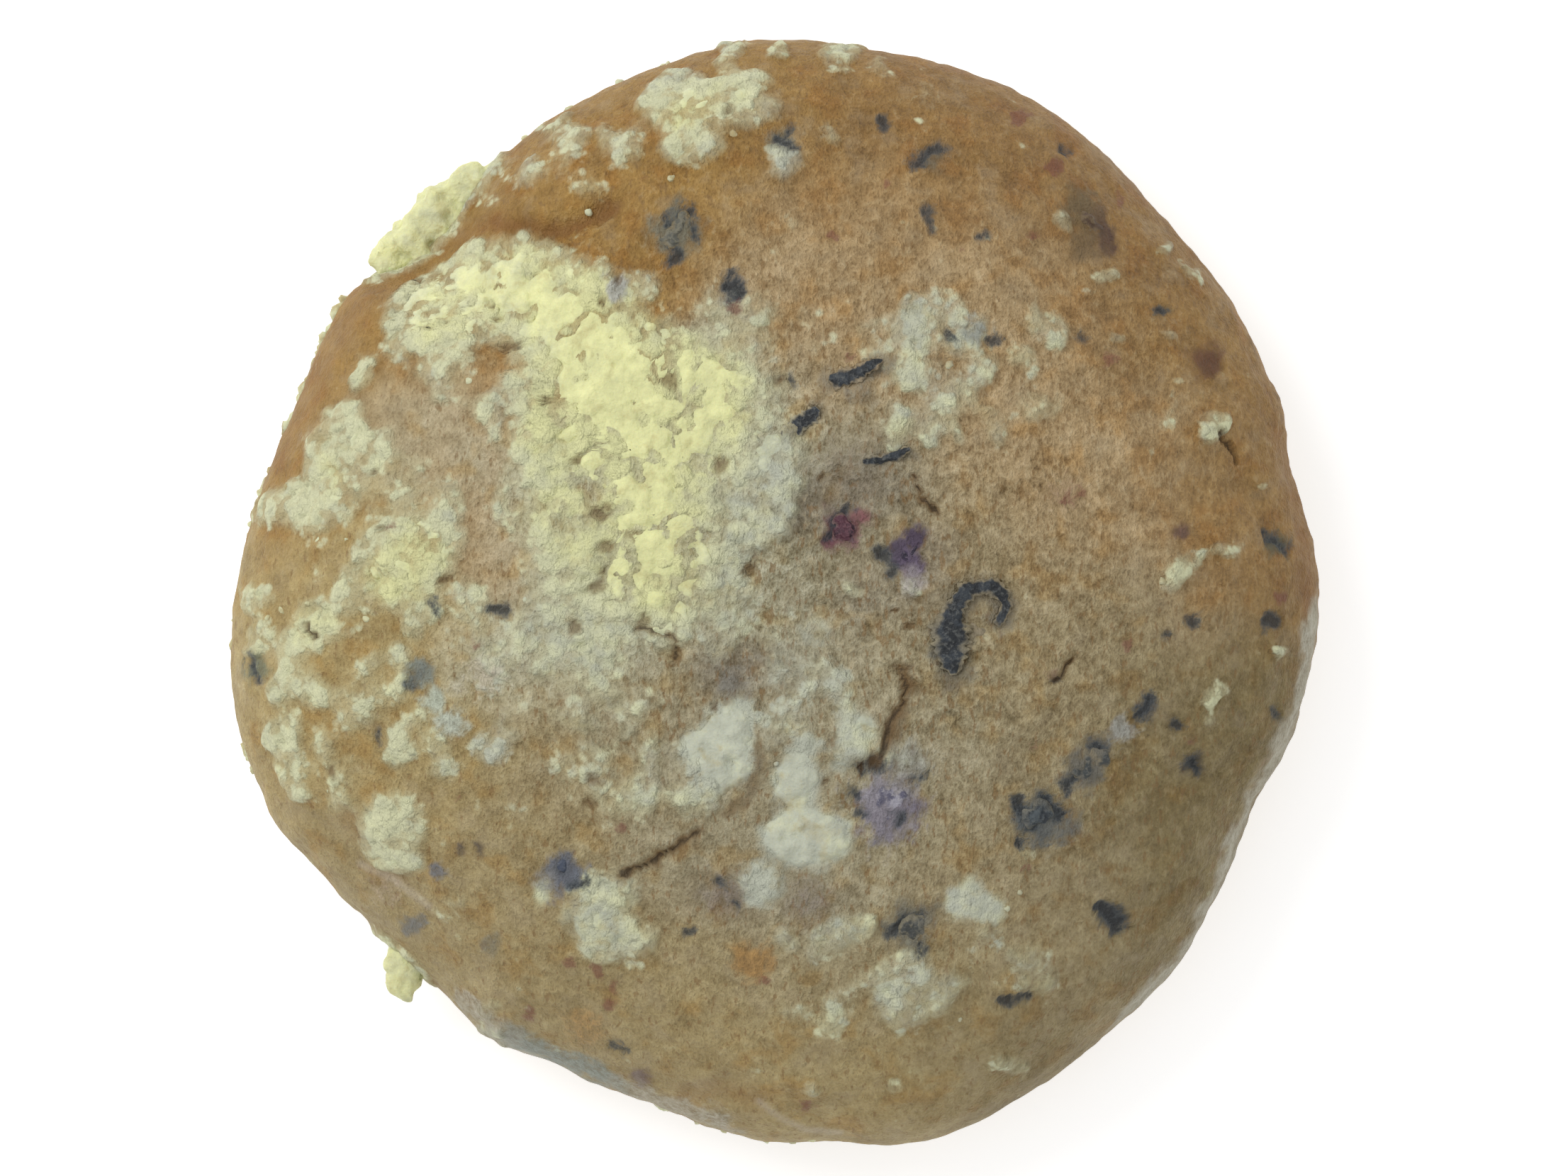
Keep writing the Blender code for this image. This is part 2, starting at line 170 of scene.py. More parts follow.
# Creases along the crust's folds, sunk a little into it and darkened with painted shade: half-width, strength
# and the run.
CREASES = (
    (1, 0.9, ((-26.2, 34.5), (-23.6, 34), (-20.9, 33.6), (-17.4, 34.3), (-15.2, 35.8))),
    (0.7, 0.5, ((-31.4, 32), (-28.6, 33.8), (-26.2, 34.5))),
    (1.6, 0.35, ((-40.8, 24), (-38.6, 27), (-35.4, 29.8))),
    (1.4, 0.3, ((-46.4, 12.6), (-44.6, 17.4), (-42, 22))),
    (1.2, 0.5, ((47, 14.6), (48.6, 9.4), (49.6, 4), (50, -2))),
    (1.3, 0.4, ((-8.6, -47), (-4.6, -46.4), (-1.6, -47.4))),
    (1, 0.4, ((-39.6, -21), (-37, -24.4), (-34.6, -26.2))),
    (0.45, 1, ((-22, 33.2), (-19.4, 33.4), (-16.8, 34.4), (-15, 35.6))),
)
# Splits in the crust: half-width, strength and the run.
SPLITS = (
    (0.36, 1, ((-14.2, -26.1), (-13, -25.6), (-11.4, -25.2), (-9.5, -24))),
    (0.5, 1, ((-9.5, -24), (-8.6, -23.2), (-7.3, -22))),
    (0.36, 1, ((11.5, -7.2), (12.2, -9.2), (11.3, -11.6), (10.4, -13.6), (9.6, -15))),
    (0.22, 1, ((-43.4, -3.2), (-43, -3.6), (-42.5, -4))), (0.2, 1, ((12.8, 10.6), (13.6, 8.4), (15, 7.2))),
    (0.24, 1, ((-12.6, -3), (-10.6, -3.6), (-9.6, -4.6), (-8.8, -6.4))),
    (0.2, 1, ((25.8, -7.8), (27, -7.2), (28.2, -6.2))), (0.2, 1, ((41.4, 15), (42.2, 13.6), (42.8, 12))),
)
# Holes in the crumble and the crust: x, y, radius.
HOLES = (
    (-9.7, 19.3, 0.9), (-5, 11.4, 0.9), (-15.4, 7.8, 0.7), (-16.2, 7.2, 0.6), (-15.7, 4, 0.8),
    (-15.9, 2.1, 0.4), (-16.5, 0.5, 0.6), (-21.1, 17.4, 0.4), (-18.3, 12.2, 0.5), (-24.8, 22.9, 0.6),
    (-23.8, 22.8, 0.6), (-26, 27.8, 0.45), (-26.2, 26.4, 0.45), (-25.6, 25.2, 0.4), (-15.9, 26.4, 0.55),
    (-12, -2.4, 0.9), (-18.5, -3.3, 0.7), (-2.3, 1.8, 0.6), (-14.6, 29, 0.4), (-4.4, 44.6, 0.5),
    (0.2, 19.8, 0.4), (4.2, 10.6, 0.4), (-16.6, -17.4, 0.8), (-17.2, -19.4, 0.4), (-32.4, 24.4, 0.4),
    (-33, 28.6, 0.4), (-37.2, 11, 0.5), (-36.4, 6, 0.4), (-5.4, -10.8, 0.35), (4.6, -17.6, 0.5),
    (-30.6, 1.2, 0.5), (12.3, -3.2, 0.45), (11, -1.6, 0.35), (-41, -16.9, 0.4), (9.3, -15.4, 0.7),
    (7.9, -15.9, 0.45),
)
# Where the crust is crumbly and pale: x, y, radius, strength.
PALE_BLOBS = (
    (-44, -9, 8, 0.16), (-40, -15, 7, 0.12), (-40, 2, 5, 0.15), (-45.6, 8, 3.2, 0.85), (-38.4, 20, 1.7, 0.85),
    (-37, 12, 3.4, 0.7), (-33, 8, 3.6, 0.75), (-34.4, 4, 3.6, 0.9), (-32.4, 0.8, 3, 0.9),
    (-31, 20.6, 3.6, 0.5), (-25, 16.4, 3.6, 0.5), (-21, 12.6, 4.6, 0.9), (-20.6, 19.4, 3.4, 0.95),
    (-18, 15, 3.6, 0.95), (-24.4, 8.4, 3.4, 0.35), (-19, 6, 4.4, 0.9), (-18.6, 0.6, 5, 0.95),
    (-17.4, 4.6, 3.4, 0.95), (-15, -4, 4.4, 0.9), (-21.6, -3.6, 3.4, 0.75), (-30.4, 22.4, 3, 0.75),
    (-35, 22.6, 2, 0.45), (-39.4, 1.8, 2, 0.5), (-36.2, 0.8, 2.6, 0.95), (-33.4, -0.4, 2.2, 0.9),
    (-34.4, -2.8, 1.7, 0.85), (-35.8, -6.8, 1.9, 0.6), (-40, 0.2, 1.9, 0.8), (-42.2, -2.6, 2.3, 1),
    (-48.6, -0.6, 1.8, 0.8), (-44.8, -5.4, 1.8, 0.95), (-43.2, -9.4, 2.1, 0.9), (-46.6, -9, 1.6, 0.7),
    (-45.6, -13.4, 1.6, 0.85), (-45.4, -16.4, 1.5, 0.8), (-44.2, -18.2, 1.2, 0.6), (-41.4, -15, 1.7, 0.65),
    (-48, -4.6, 1.5, 0.85), (-38.4, -9.2, 2.6, 0.45), (-40.6, -18.2, 2, 0.4), (-34.4, -12.8, 1.6, 0.85),
    (-34.8, -15.4, 1.3, 0.75), (-36.2, -19.8, 1.4, 0.8), (-31.2, -15.4, 2.4, 0.8), (-25.4, -6.6, 3, 0.7),
    (-25.6, -14.2, 2.4, 0.85), (-29, -1.6, 3, 0.55), (-21, -9.6, 4, 0.45), (-15.6, -11, 4, 0.5),
    (-17.4, -16.6, 4, 0.55), (-12.6, -19.4, 3, 0.8), (-9.8, -15.6, 2.6, 0.75), (-36.4, -21.6, 2.4, 0.6),
    (-7.2, -19, 2.4, 0.6), (-1.6, -26.6, 2.3, 1), (1.4, -4.4, 3.6, 0.5), (4.6, -8.6, 3.4, 0.6),
    (0.4, -12, 3, 0.65), (6.4, -14, 3, 0.5), (1.9, -32.3, 1.7, 0.9), (6.2, -31.4, 1.9, 0.9),
    (7.8, -30.2, 1.3, 0.8), (4.4, -32.8, 1.4, 0.8), (5.2, -38.8, 2.6, 0.6), (1.6, -39.2, 1.8, 0.5),
    (8.6, -36, 2.2, 0.5), (18, -29, 2.8, 0.35), (16.4, -35, 3, 0.3), (24, -34.6, 2.4, 0.5),
    (23, -36.3, 1.3, 0.9), (20.6, -32, 3, 0.35), (12, -35.2, 2.2, 0.85), (12, -38, 1.2, 0.8),
    (12.6, 25.8, 2.5, 1), (18, 23.8, 2.3, 0.9), (15.6, 27, 2.2, 0.7), (10.6, 22.4, 3, 0.55),
    (15, 18.6, 4.6, 0.5), (16.4, 19, 2, 0.8), (19, 21, 1.6, 0.75), (22.4, 20.6, 1.6, 0.6), (15.4, 16, 2, 0.8),
    (17.8, 16.6, 1.5, 0.75), (24, 17.4, 2.2, 0.5), (20.6, 15, 1.8, 0.6), (11.4, 14.9, 1.7, 1),
    (14.7, 14.7, 1, 0.95), (16.8, 14.7, 0.9, 0.9), (28.4, 24, 5, 0.2), (25.2, 24.6, 1.7, 0.9),
    (31.5, 23.9, 0.8, 0.8), (22.6, 22, 1.2, 0.6), (12.4, 20.4, 2, 0.7), (35, 15.6, 3.4, 0.3),
    (41.2, 15.9, 1.6, 0.9), (37.1, 2.1, 1.9, 1), (42.1, 3.9, 1.4, 0.62), (39.8, 2.8, 0.8, 0.8),
    (40.9, -9.6, 1.1, 0.9), (40.5, -11.4, 0.9, 0.7), (-19.8, 42.6, 2.2, 0.7), (-23.4, 39.4, 2.4, 0.55),
    (-17.4, 38.6, 2.6, 0.5), (-14.4, 41.8, 2.2, 0.6), (-26.6, 37, 1.8, 0.4), (-11.6, 45, 2.2, 0.5),
    (-4.2, 50.2, 2, 0.95), (-2.8, 47, 2, 1), (0.4, 50.6, 1, 0.8), (5.8, 50.2, 1.8, 0.9),
    (9.8, 48.8, 1.5, 0.8), (-6.6, 40.6, 2.2, 0.6), (0.9, 40.4, 1.9, 0.9), (5, 42.2, 1.2, 0.7),
    (13.6, 45.6, 2.4, 0.4), (-4, 24.6, 4.4, 0.72), (3.4, 24, 3, 0.5), (-0.4, 33.6, 3, 0.3),
    (-12.6, 28.4, 2.2, 0.6), (-1.6, 17, 3.6, 0.9), (-5.4, 5.4, 3.4, 0.85), (-2.4, 5.6, 2.8, 0.8),
    (-4, 1.2, 3, 0.8), (-5.4, -4, 2.8, 0.6), (-2.6, 12, 3.4, 0.95), (-4.4, 9.6, 2.6, 0.8),
    (-4.4, 9, 2.6, 0.5), (-2, -44.9, 1, 0.6), (3.4, -46.3, 1.2, 0.8), (21.4, -44.4, 1.6, 0.6),
    (12.4, -45.8, 2.2, 0.45), (-26, -40, 2.4, 0.5), (-30.6, -29, 2.2, 0.4), (44.8, 10.8, 0.7, 0.8),
    (46.9, -5.8, 0.8, 0.8), (32.4, 36, 1.2, 0.35), (26.2, 34.3, 1.1, 0.72), (36.5, 32.1, 0.8, 0.7),
    (38.9, 30, 0.9, 0.6), (30.4, 29.7, 1.1, 0.6), (36.1, 24, 1, 0.5), (30, -20, 3, 0.2), (-24, -22, 3, 0.25),
    (24.1, -23.6, 1, 0.7), (12.3, 0.5, 1.4, 0.75), (7.5, 0.7, 1.2, 0.6), (11.6, -15.8, 2.4, 0.7),
)
# Where crumble is buttery yellow, where it is ashen white, and where it makes smooth pale lumps.
YELLOW_BLOBS = (
    (-30, 28, 5.6, 0.6), (-32, 23.6, 4, 0.5), (-40, 14, 4, 0.3), (-23.6, 28.6, 5.6, 0.75),
    (-18, 26, 5.4, 0.85), (-15, 21, 6.8, 0.95), (-13, 15.6, 7.2, 1), (-11.2, 10, 5.4, 1), (-11.6, 5, 5, 1),
    (-10.6, 1.2, 4.4, 1), (-5.4, 18, 4.2, 0.85), (-33.2, 3.4, 4, 1), (-18.4, 17.6, 4, 0.85),
    (-8.6, 18.6, 5, 1), (-36.2, 0.8, 2.6, 0.8), (-33.6, -0.4, 2.2, 0.6), (-42.2, -2.6, 2.4, 0.6),
    (-41, 11, 3.6, 0.6), (-8.6, 44, 3.6, 0.8), (-4, 46.4, 3, 0.6), (-44, -6, 6, 0.5), (-41, -15, 6, 0.45),
    (-46, 6, 5, 0.45), (-36, -22.6, 3.4, 0.3), (-20, 41, 6, 0.35), (11.4, 14.9, 1.7, 0.6),
    (37.1, 2.1, 2.4, 0.5), (41, -10, 2, 0.45), (-38.4, 20, 2.4, 0.5), (-32, -14, 3.6, 0.35),
    (5.6, -39.2, 3, 0.35), (24.6, -36, 2, 0.3), (41.2, 15.9, 2, 0.4), (-20.4, 9, 6.4, 0.55), (-18, 3, 6, 0.5),
    (-21, 15, 4, 0.55), (-4, 14.6, 3.6, 0.3),
)
ASH_BLOBS = (
    (-5.4, -14, 5, 1), (2.4, -17, 5, 1), (2.6, -24, 6, 1), (-1.6, -26.6, 3.4, 1), (-16, -30, 3.6, 0.3),
    (12.6, -36.6, 3.4, 0.7), (17.7, -29.2, 3.4, 0.8), (12.6, 25.8, 3.4, 0.3), (18, 24, 3.4, 0.35),
    (-0.8, 11, 3.4, 0.8), (3, -8, 7, 0.7), (0.9, 40.4, 3, 0.8), (-27, -9, 5, 0.5), (-5, 24, 4, 0.2),
    (4, -33, 5, 0.3), (24, -35, 4, 0.2), (14, 19, 4, 0.3), (-25.6, -14.2, 3, 0.7), (-1, 4, 4, 0.35),
)
MILKY = (
    (-4.4, -12.8, 2.5, 1), (-5.6, -15.6, 2.6, 1), (-6.4, -18, 1.6, 0.8), (-3.2, -11.4, 1.5, 0.9),
    (-7.6, -14.2, 1.4, 0.7), (-3.4, -15.8, 1.8, 0.9), (1.8, -17.4, 2.3, 1), (2.9, -22.6, 2.9, 1),
    (0.6, -22.6, 2.1, 0.9), (5.4, -22.4, 2, 0.9), (2.7, -14, 1.6, 0.75), (7.6, -12.9, 1.9, 0.95),
    (6, -15.5, 1.5, 0.55), (0, -7.8, 1.5, 0.35), (3.6, -3.8, 2.2, 0.35), (4.9, -8.8, 1.3, 0.4),
    (6.4, -10.6, 1.2, 0.5), (-1.4, -26.9, 2, 1), (-16.2, -28.2, 1.9, 0.9), (-16.6, -30.4, 1.9, 0.9),
    (-15, -31.2, 1.4, 0.8), (-13.5, -32.4, 0.9, 0.5), (-17.6, -31, 0.9, 0.6), (-21.6, -27.8, 1.1, 0.7),
    (17.8, -28.4, 2, 0.85), (19.8, -29.6, 1.5, 0.75), (16.6, -28.8, 1.2, 0.6),
)
# Stains of berry juice, and pale spots of painted sheen on shiny crust near (-30, -10): x, y, radius,
# strength, colour.
STAINS_AND_SHEEN = (
    (24.4, -20.8, 2.9, 1, (82, 88, 90)), (26.6, -21.6, 1.8, 0.7, (104, 104, 98)),
    (28.2, -16.6, 2.4, 0.85, (104, 102, 94)), (30, -14.4, 1.8, 0.85, (92, 92, 90)),
    (34.2, -10.6, 1.5, 0.9, (86, 84, 80)), (32.1, -13, 1.3, 0.8, (160, 160, 152)),
    (-19.8, -26.1, 2.3, 1, (96, 102, 114)), (-21.4, -27, 1.4, 0.6, (150, 148, 140)),
    (12.6, -30.6, 3, 0.8, (112, 110, 98)), (15.9, -4.8, 2.6, 0.95, (84, 86, 84)),
    (17.4, -7.4, 1.6, 0.5, (110, 106, 94)), (20.6, -2.2, 1.8, 0.6, (104, 100, 92)),
    (-9.3, 33.4, 3, 0.85, (112, 110, 94)), (28.4, 35.6, 2.6, 0.8, (104, 88, 60)),
    (28.8, 32.6, 2.4, 0.7, (108, 88, 58)), (30, 34.8, 1.2, 0.8, (90, 66, 50)),
    (30.8, 33.3, 1.2, 1, (70, 46, 38)), (31, 31.9, 1.1, 0.9, (82, 54, 38)),
    (10.4, -19.8, 3.7, 1, (126, 121, 132)), (8.6, -18.6, 1.3, 0.9, (160, 156, 166)),
    (11, -18, 1.3, 0.7, (148, 144, 154)), (12.8, -20, 1.5, 0.8, (110, 104, 122)),
    (12.2, -15.8, 2.8, 0.7, (158, 158, 146)), (12.7, 4.8, 1.5, 0.95, (66, 54, 78)),
    (11.4, 3.6, 1.5, 0.95, (72, 62, 84)), (12.4, 2.6, 1.6, 0.85, (98, 84, 112)),
    (12.6, 0.9, 1.5, 0.7, (178, 172, 164)), (6, 6, 2.2, 0.95, (88, 54, 66)),
    (7.6, 6.6, 1.3, 0.8, (142, 82, 90)), (5, 4.6, 1.3, 0.85, (112, 58, 74)),
    (6.8, 5.2, 1.3, 0.8, (126, 74, 84)), (-4.1, -8.4, 2.2, 0.6, (118, 116, 110)),
    (0.5, 41.8, 1.9, 0.75, (116, 114, 98)), (-4, 28, 1.6, 0.7, (98, 92, 88)),
    (-32.8, -7.6, 1.8, 0.8, (118, 126, 120)), (-33.6, -8.4, 1, 0.85, (86, 94, 96)),
    (-48.3, -7.2, 1.7, 0.9, (116, 118, 92)), (40.1, 21.6, 2, 0.85, (98, 64, 42)),
    (35.8, 26, 1.2, 0.6, (104, 92, 68)), (37.5, 5.5, 1, 0.85, (104, 78, 66)),
    (7, 11, 5, 0.4, (126, 116, 102)), (7.6, 18.4, 2.2, 0.5, (126, 122, 108)),
    (3.2, -28.4, 3, 0.4, (124, 114, 110)), (-4.6, -28, 2.8, 0.45, (122, 112, 108)),
    (31.3, -30.2, 1.9, 0.95, (78, 76, 68)), (46.7, 4.5, 1.5, 0.85, (92, 90, 70)),
    (-12.5, -45.4, 1.3, 0.8, (108, 88, 84)), (38.8, -16, 1.5, 0.8, (82, 74, 62)),
    (18.4, 24, 1.5, 0.8, (146, 150, 142)), (-14.6, 28.2, 1.5, 0.85, (168, 168, 160)),
    # From (-31.6, -9.9) to (-26.6, -7.4): pale spots of painted sheen.
    (14.6, 40, 1.5, 0.7, (102, 92, 72)), (-31.6, -9.9, 1.6, 0.85, (178, 186, 168)),
    (-30, -12, 1.8, 0.85, (180, 186, 170)), (-29.4, -8.4, 1.2, 0.5, (184, 180, 158)),
    (-26.6, -7.4, 2.4, 0.45, (198, 186, 168)), (-33.7, -31, 1.2, 0.8, (116, 116, 112)),
    (-31.3, -25.8, 0.9, 0.8, (106, 108, 112)), (-29.1, -23.7, 0.8, 0.8, (92, 82, 72)),
    (-27.3, -23.7, 0.7, 0.8, (92, 80, 68)), (-26.5, -32.4, 1.3, 0.6, (116, 112, 96)),
    (-2.2, -34.1, 2.2, 1, (162, 126, 74)), (-17.7, -40.5, 2.4, 0.5, (166, 130, 78)),
    (-36.4, -27.6, 2.2, 0.4, (168, 150, 132)), (25.6, -7.4, 0.8, 0.6, (128, 96, 84)),
    (-5, 8, 2, 0.3, (150, 148, 122)), (26.6, 9, 2.4, 0.3, (142, 108, 90)),
)
# Stains that follow a run, and two runs of painted shadow along splits: half-width, strength, colour and the
# run.
STAIN_AND_SHADOW_RUNS = (
    (1.3, 0.75, (132, 138, 128), ((-24.6, -41.4), (-21.6, -42.9), (-18.4, -44.3), (-14.8, -45.9))),
    (1.2, 0.6, (166, 160, 142), ((-29.4, -38), (-24.6, -41.4))),
    (1.2, 0.6, (168, 162, 144), ((-14.8, -45.9), (-10.2, -47.8), (-5, -49.4))),
    # The next two runs are painted shadow, beside the split right of the middle and in the gap left of it.
    (0.7, 0.6, (104, 84, 56), ((12, -6.8), (12.5, -9.2), (11.6, -11.8), (10.6, -14.4))),
    (0.7, 0.6, (112, 94, 66), ((-1.6, -14), (-1.5, -16.6), (-2.8, -19), (-4.6, -20.4))),
    (1.5, 0.55, (108, 104, 94), ((5, 19.4), (7.2, 19.6), (10, 21))),
    (1.1, 0.5, (108, 104, 94), ((1, 14.4), (2.6, 15.5), (4, 17.2))),
    (0.9, 0.5, (108, 104, 94), ((8.2, 12), (10.3, 12.3), (12.4, 13.1))),
    (1.7, 0.6, (112, 106, 92), ((21, -1), (18.7, 0.4), (16.6, -1.5), (15.8, -4.4), (16.2, -8))),
)
# Dark scraps of berry skin: from x, y to x, y, half-width.
SCRAPS = (
    (13.2, 39.6, 14.8, 41.2, 0.5), (14.6, 40.6, 16.4, 41.4, 0.25), (14, 35.6, 14.8, 33.4, 0.3),
    (-4.4, 28.4, -3.2, 27.6, 0.55), (-4, 29.2, -3.8, 28.4, 0.25), (10, 43.8, 10.1, 43.6, 0.6),
    (0.2, 42, 1.6, 41.2, 0.5), (1.2, 43.2, 1.4, 42.2, 0.3), (-26.2, -1.4, -25, -1.6, 0.5),
    (-31.8, -1, -31.2, -1.6, 0.35), (35.4, 26.4, 36, 25.8, 0.35), (28.3, 23.4, 28.5, 23.2, 0.3),
    (46, 5.4, 46.2, 4.9, 0.45), (47, 4.4, 47.8, 4, 0.4), (46.1, -2.6, 46.2, -2.7, 0.75),
    (38.7, -2.7, 38.8, -2.9, 0.45), (33.6, -11.4, 34.6, -9.8, 0.55), (37, -12.3, 37.4, -12.5, 0.6),
    (38.5, -15.6, 39, -16.4, 0.5), (30.8, -29.4, 31.8, -31, 0.8), (21.4, -38, 23.4, -37.6, 0.5),
    (-49, -6.6, -48.2, -8.4, 0.45), (-15.2, -42.2, -13.9, -42.6, 0.3), (-9.6, 30.9, -9.2, 31.5, 0.6),
    (-8.6, 34.8, -7.6, 35.6, 0.5), (-10.2, 34.8, -9.6, 33.6, 0.4), (-7.6, 34, -7.2, 33, 0.3),
    (15.6, 24, 16.6, 23.4, 0.4), (20, 23, 21, 23.6, 0.4), (22.5, -19, 22.9, -20.2, 0.55),
    (23.4, -20.6, 23.6, -21.8, 0.5), (22.4, -22.8, 22.8, -23.4, 0.4), (25, -19.4, 26.2, -20.4, 0.6),
    (29.4, -14.4, 30.4, -14.6, 0.55), (26.8, -17.8, 27.6, -17, 0.5), (-19.9, -25.8, -19.8, -26, 0.35),
    (-19, -27, -17.6, -26.6, 0.35), (10.8, -31.4, 11.6, -30.6, 0.5), (12.2, -30.4, 13.2, -29.6, 0.35),
    (13.4, -33, 14, -33.2, 0.35), (9.2, -15.4, 9.5, -15.9, 0.7), (7.9, -15.6, 8, -16.3, 0.5),
    (7.1, -18.2, 7.6, -18.6, 0.4), (7.4, -20.4, 8, -20.6, 0.4), (10.5, -19.3, 10.8, -19.6, 0.45),
    (11, -21.2, 11.8, -20.4, 0.45), (12.3, -17.4, 14.4, -16.9, 0.15), (36.4, -4.1, 36.5, -4.2, 0.22),
    (46.6, -11.2, 46.8, -11.5, 0.35), (27, 41.4, 27.2, 41, 0.35), (19, 32.8, 19.6, 33.2, 0.35),
    (-33.6, 27, -33.4, 27, 0.25), (-37, -12.6, -36.6, -13.6, 0.25), (5.6, 6.6, 7, 7.8, 0.5),
    (4.8, 5, 6.6, 5.6, 0.5), (9.6, 4.2, 9.9, 3, 0.4), (10.6, 1.6, 10.8, 2.8, 0.35),
    (-5.4, -26.7, -5, -26.9, 0.25), (-3.9, -29, -3.6, -29.2, 0.3), (-8.4, -31.6, -7.6, -31.4, 0.25),
    (1.4, 19.6, 1.6, 19.4, 0.3), (25.6, -7.8, 26, -7.8, 0.3),
)
# Red and magenta specks: x, y, radius.
RED_SPECKS = (
    (-16.4, -35.3, 0.8), (-15.2, -36.7, 0.5), (-15.3, -38.3, 0.7), (-18.9, -34.2, 0.6), (-22.8, -39.1, 0.6),
    (-14.1, -21.7, 0.5), (10.3, 37.9, 0.5), (5.2, 33.1, 0.6), (25.8, 39.7, 0.9), (22.8, 44.2, 0.9),
    (-3.8, 26.4, 0.6), (32.2, 36.6, 0.5), (27, 8.6, 0.6), (28.4, 9.2, 0.5), (32.6, -4.8, 0.5),
    (47.1, -0.6, 0.7), (6.7, 21.7, 0.5), (23.7, -14.2, 0.4), (23.1, -25.7, 0.5), (2.8, -48, 0.6),
    (-27.6, -4.8, 0.5), (31.2, 21.6, 0.6), (24, 33, 0.4), (38.6, -13.6, 0.4), (-1.1, -36, 0.6),
    (-35.6, 6.2, 0.5), (-29.4, -18.6, 0.3), (17.4, 31.4, 0.3), (-12.4, 38.2, 0.3),
)

# ---------------------------------------------------------------- pieces on the crust
# Loose crumbs: x, y, field radius, how many, least and greatest radius.
GRAIN_FIELDS = (
    (-41, 9, 6, 5, 0.25, 0.8), (-44, -5, 7, 7, 0.25, 0.8), (-40, -14, 6, 4, 0.25, 0.7),
    (-34, 4, 6, 5, 0.2, 0.7), (-23, 6, 7, 5, 0.2, 0.6), (-20, 40, 7, 3, 0.2, 0.6), (-8, 43, 6, 5, 0.25, 0.8),
    (-30, 25, 6, 5, 0.25, 0.8), (-16, 10, 8, 8, 0.2, 0.8), (-3, 16, 6, 7, 0.25, 0.8),
    (-16, -3, 6, 5, 0.2, 0.6), (14, 24, 5, 2, 0.2, 0.6), (2, -14, 6, 2, 0.2, 0.6), (-12, -20, 6, 2, 0.2, 0.6),
    (13, -35, 7, 3, 0.2, 0.6), (20, -32, 6, 2, 0.2, 0.5), (-5, 22, 5, 2, 0.2, 0.6), (-8, -1, 5, 4, 0.2, 0.6),
    (37, 2, 2, 1, 0.3, 0.7),
)
# Crumbs stuck on the edge: from angle, to angle, how many, least and greatest radius.
RIM_CRUMBS = (
    (118, 132, 10, 0.4, 0.9), (145, 163, 40, 0.4, 1.1), (163, 200, 40, 0.4, 1), (8, 10, 3, 0.6, 0.9),
    (100, 118, 10, 0.3, 0.6), (256, 274, 16, 0.4, 0.8),
)
# The CAD pieces of crumble, and how the names of the paler ones start.
CRUMBLES = (
    "crumble_band", "crumble_band_edge", "crumble_left_upper", "crumble_left_lower", "crumble_top",
    "crumble_centre_left", "crumble_centre", "crumble_centre_right", "crumble_lower_left", "crumble_low",
    "crumble_far_left", "crumble_rim_upper", "crumble_rim_lower",
)
PALE_CRUMBLES = ("crumble_band_edge", "crumble_centre", "crumble_low")
# Where crumble spreads beyond its CAD piece: x, y, radius.
SPREADS = {
    "crumble_band": (
        (-33.6, 26.4, 1.8), (-30.6, 27.8, 2.4), (-27.5, 29, 2.8), (-24, 29.6, 2.8), (-28.6, 25.6, 2.6),
        (-33.6, 23.8, 1.5), (-24, 26.4, 3.4), (-20.4, 27.6, 3.2), (-16.6, 26.4, 2.8), (-19.4, 23, 3),
        (-15.6, 22.4, 3.4), (-11.4, 22.4, 2.8), (-16.8, 18, 3.2), (-12.8, 17.8, 3.4), (-8.6, 19.6, 2.8),
        (-5.4, 19, 2.4), (-14.4, 13.6, 3), (-10.6, 13.4, 3.2), (-7.4, 15.4, 2.4), (-11.6, 9, 2.6),
        (-9, 6, 2.4), (-10.4, 3.4, 2.6), (-8.6, 0.4, 2.2), (-12.4, 0.2, 1.6), (-19, 19.4, 2.6),
        (-18.2, 15.6, 2.4), (-16.6, 12, 1.8), (-5, 16, 2.2), (-14, 8.8, 1.8), (-13.4, 5.4, 1.8),
        (-14, 2.6, 1.2), (-7.8, 9.8, 1.4), (-21.6, 23.4, 2),
    ),
    "crumble_band_edge": ((-2.6, 16.4, 2.2), (-0.6, 9.4, 2.4), (-1.6, 13.4, 2)),
    "crumble_left_lower": ((-35.4, 5, 1.6), (-32, 1.4, 2), (-31.6, 5.6, 1.6)),
    "crumble_left_upper": ((-42.4, 9, 1.6), (-39.4, 13.6, 1.6)),
}
# Strips of dark berry skin: the run's places as x, y, half-width.
STRIPS = {
    "skin_upper": ((4.9, 19.7, 0.3), (5.8, 19.6, 0.75), (7.2, 20, 0.7), (8.7, 20.9, 0.5), (9.9, 21.5, 0.2)),
    "skin_middle": (
        (0.8, 14.2, 0.5), (1.5, 14.9, 0.65), (2.5, 15.6, 0.75), (3.5, 16.5, 0.55), (3.9, 16.9, 0.3),
    ),
    "skin_lower": (
        (8, 12.1, 0.2), (9, 12.1, 0.42), (10.3, 12.4, 0.4), (11.6, 12.9, 0.42), (12.4, 13.3, 0.15),
    ),
    "skin_hook": (
        (20.3, -3, 0.3), (21, -1.9, 0.45), (21.1, -0.7, 0.5), (20.2, 0.4, 0.6), (18.7, 0.6, 0.55),
        (17.4, 0, 0.7), (16.5, -1.5, 0.95), (16.2, -3.4, 1.35), (16.2, -5.2, 1.3), (16.3, -6.8, 0.8),
        (16.4, -7.6, 0.3),
    ),
}
# fmt: on

# ---------------------------------------------------------------- small helpers


def linear(rgb):
    """An sRGB colour in 0-255 as linear light."""
    return tuple(c / 12.92 if c <= 0.04045 else ((c + 0.055) / 1.055) ** 2.4 for c in (v / 255 for v in rgb))


def smooth(value, low, high):
    """0 below low, 1 above high, and a smooth rise between them."""
    t = np.clip((value - low) / (high - low), 0, 1)
    return t * t * (3 - 2 * t)


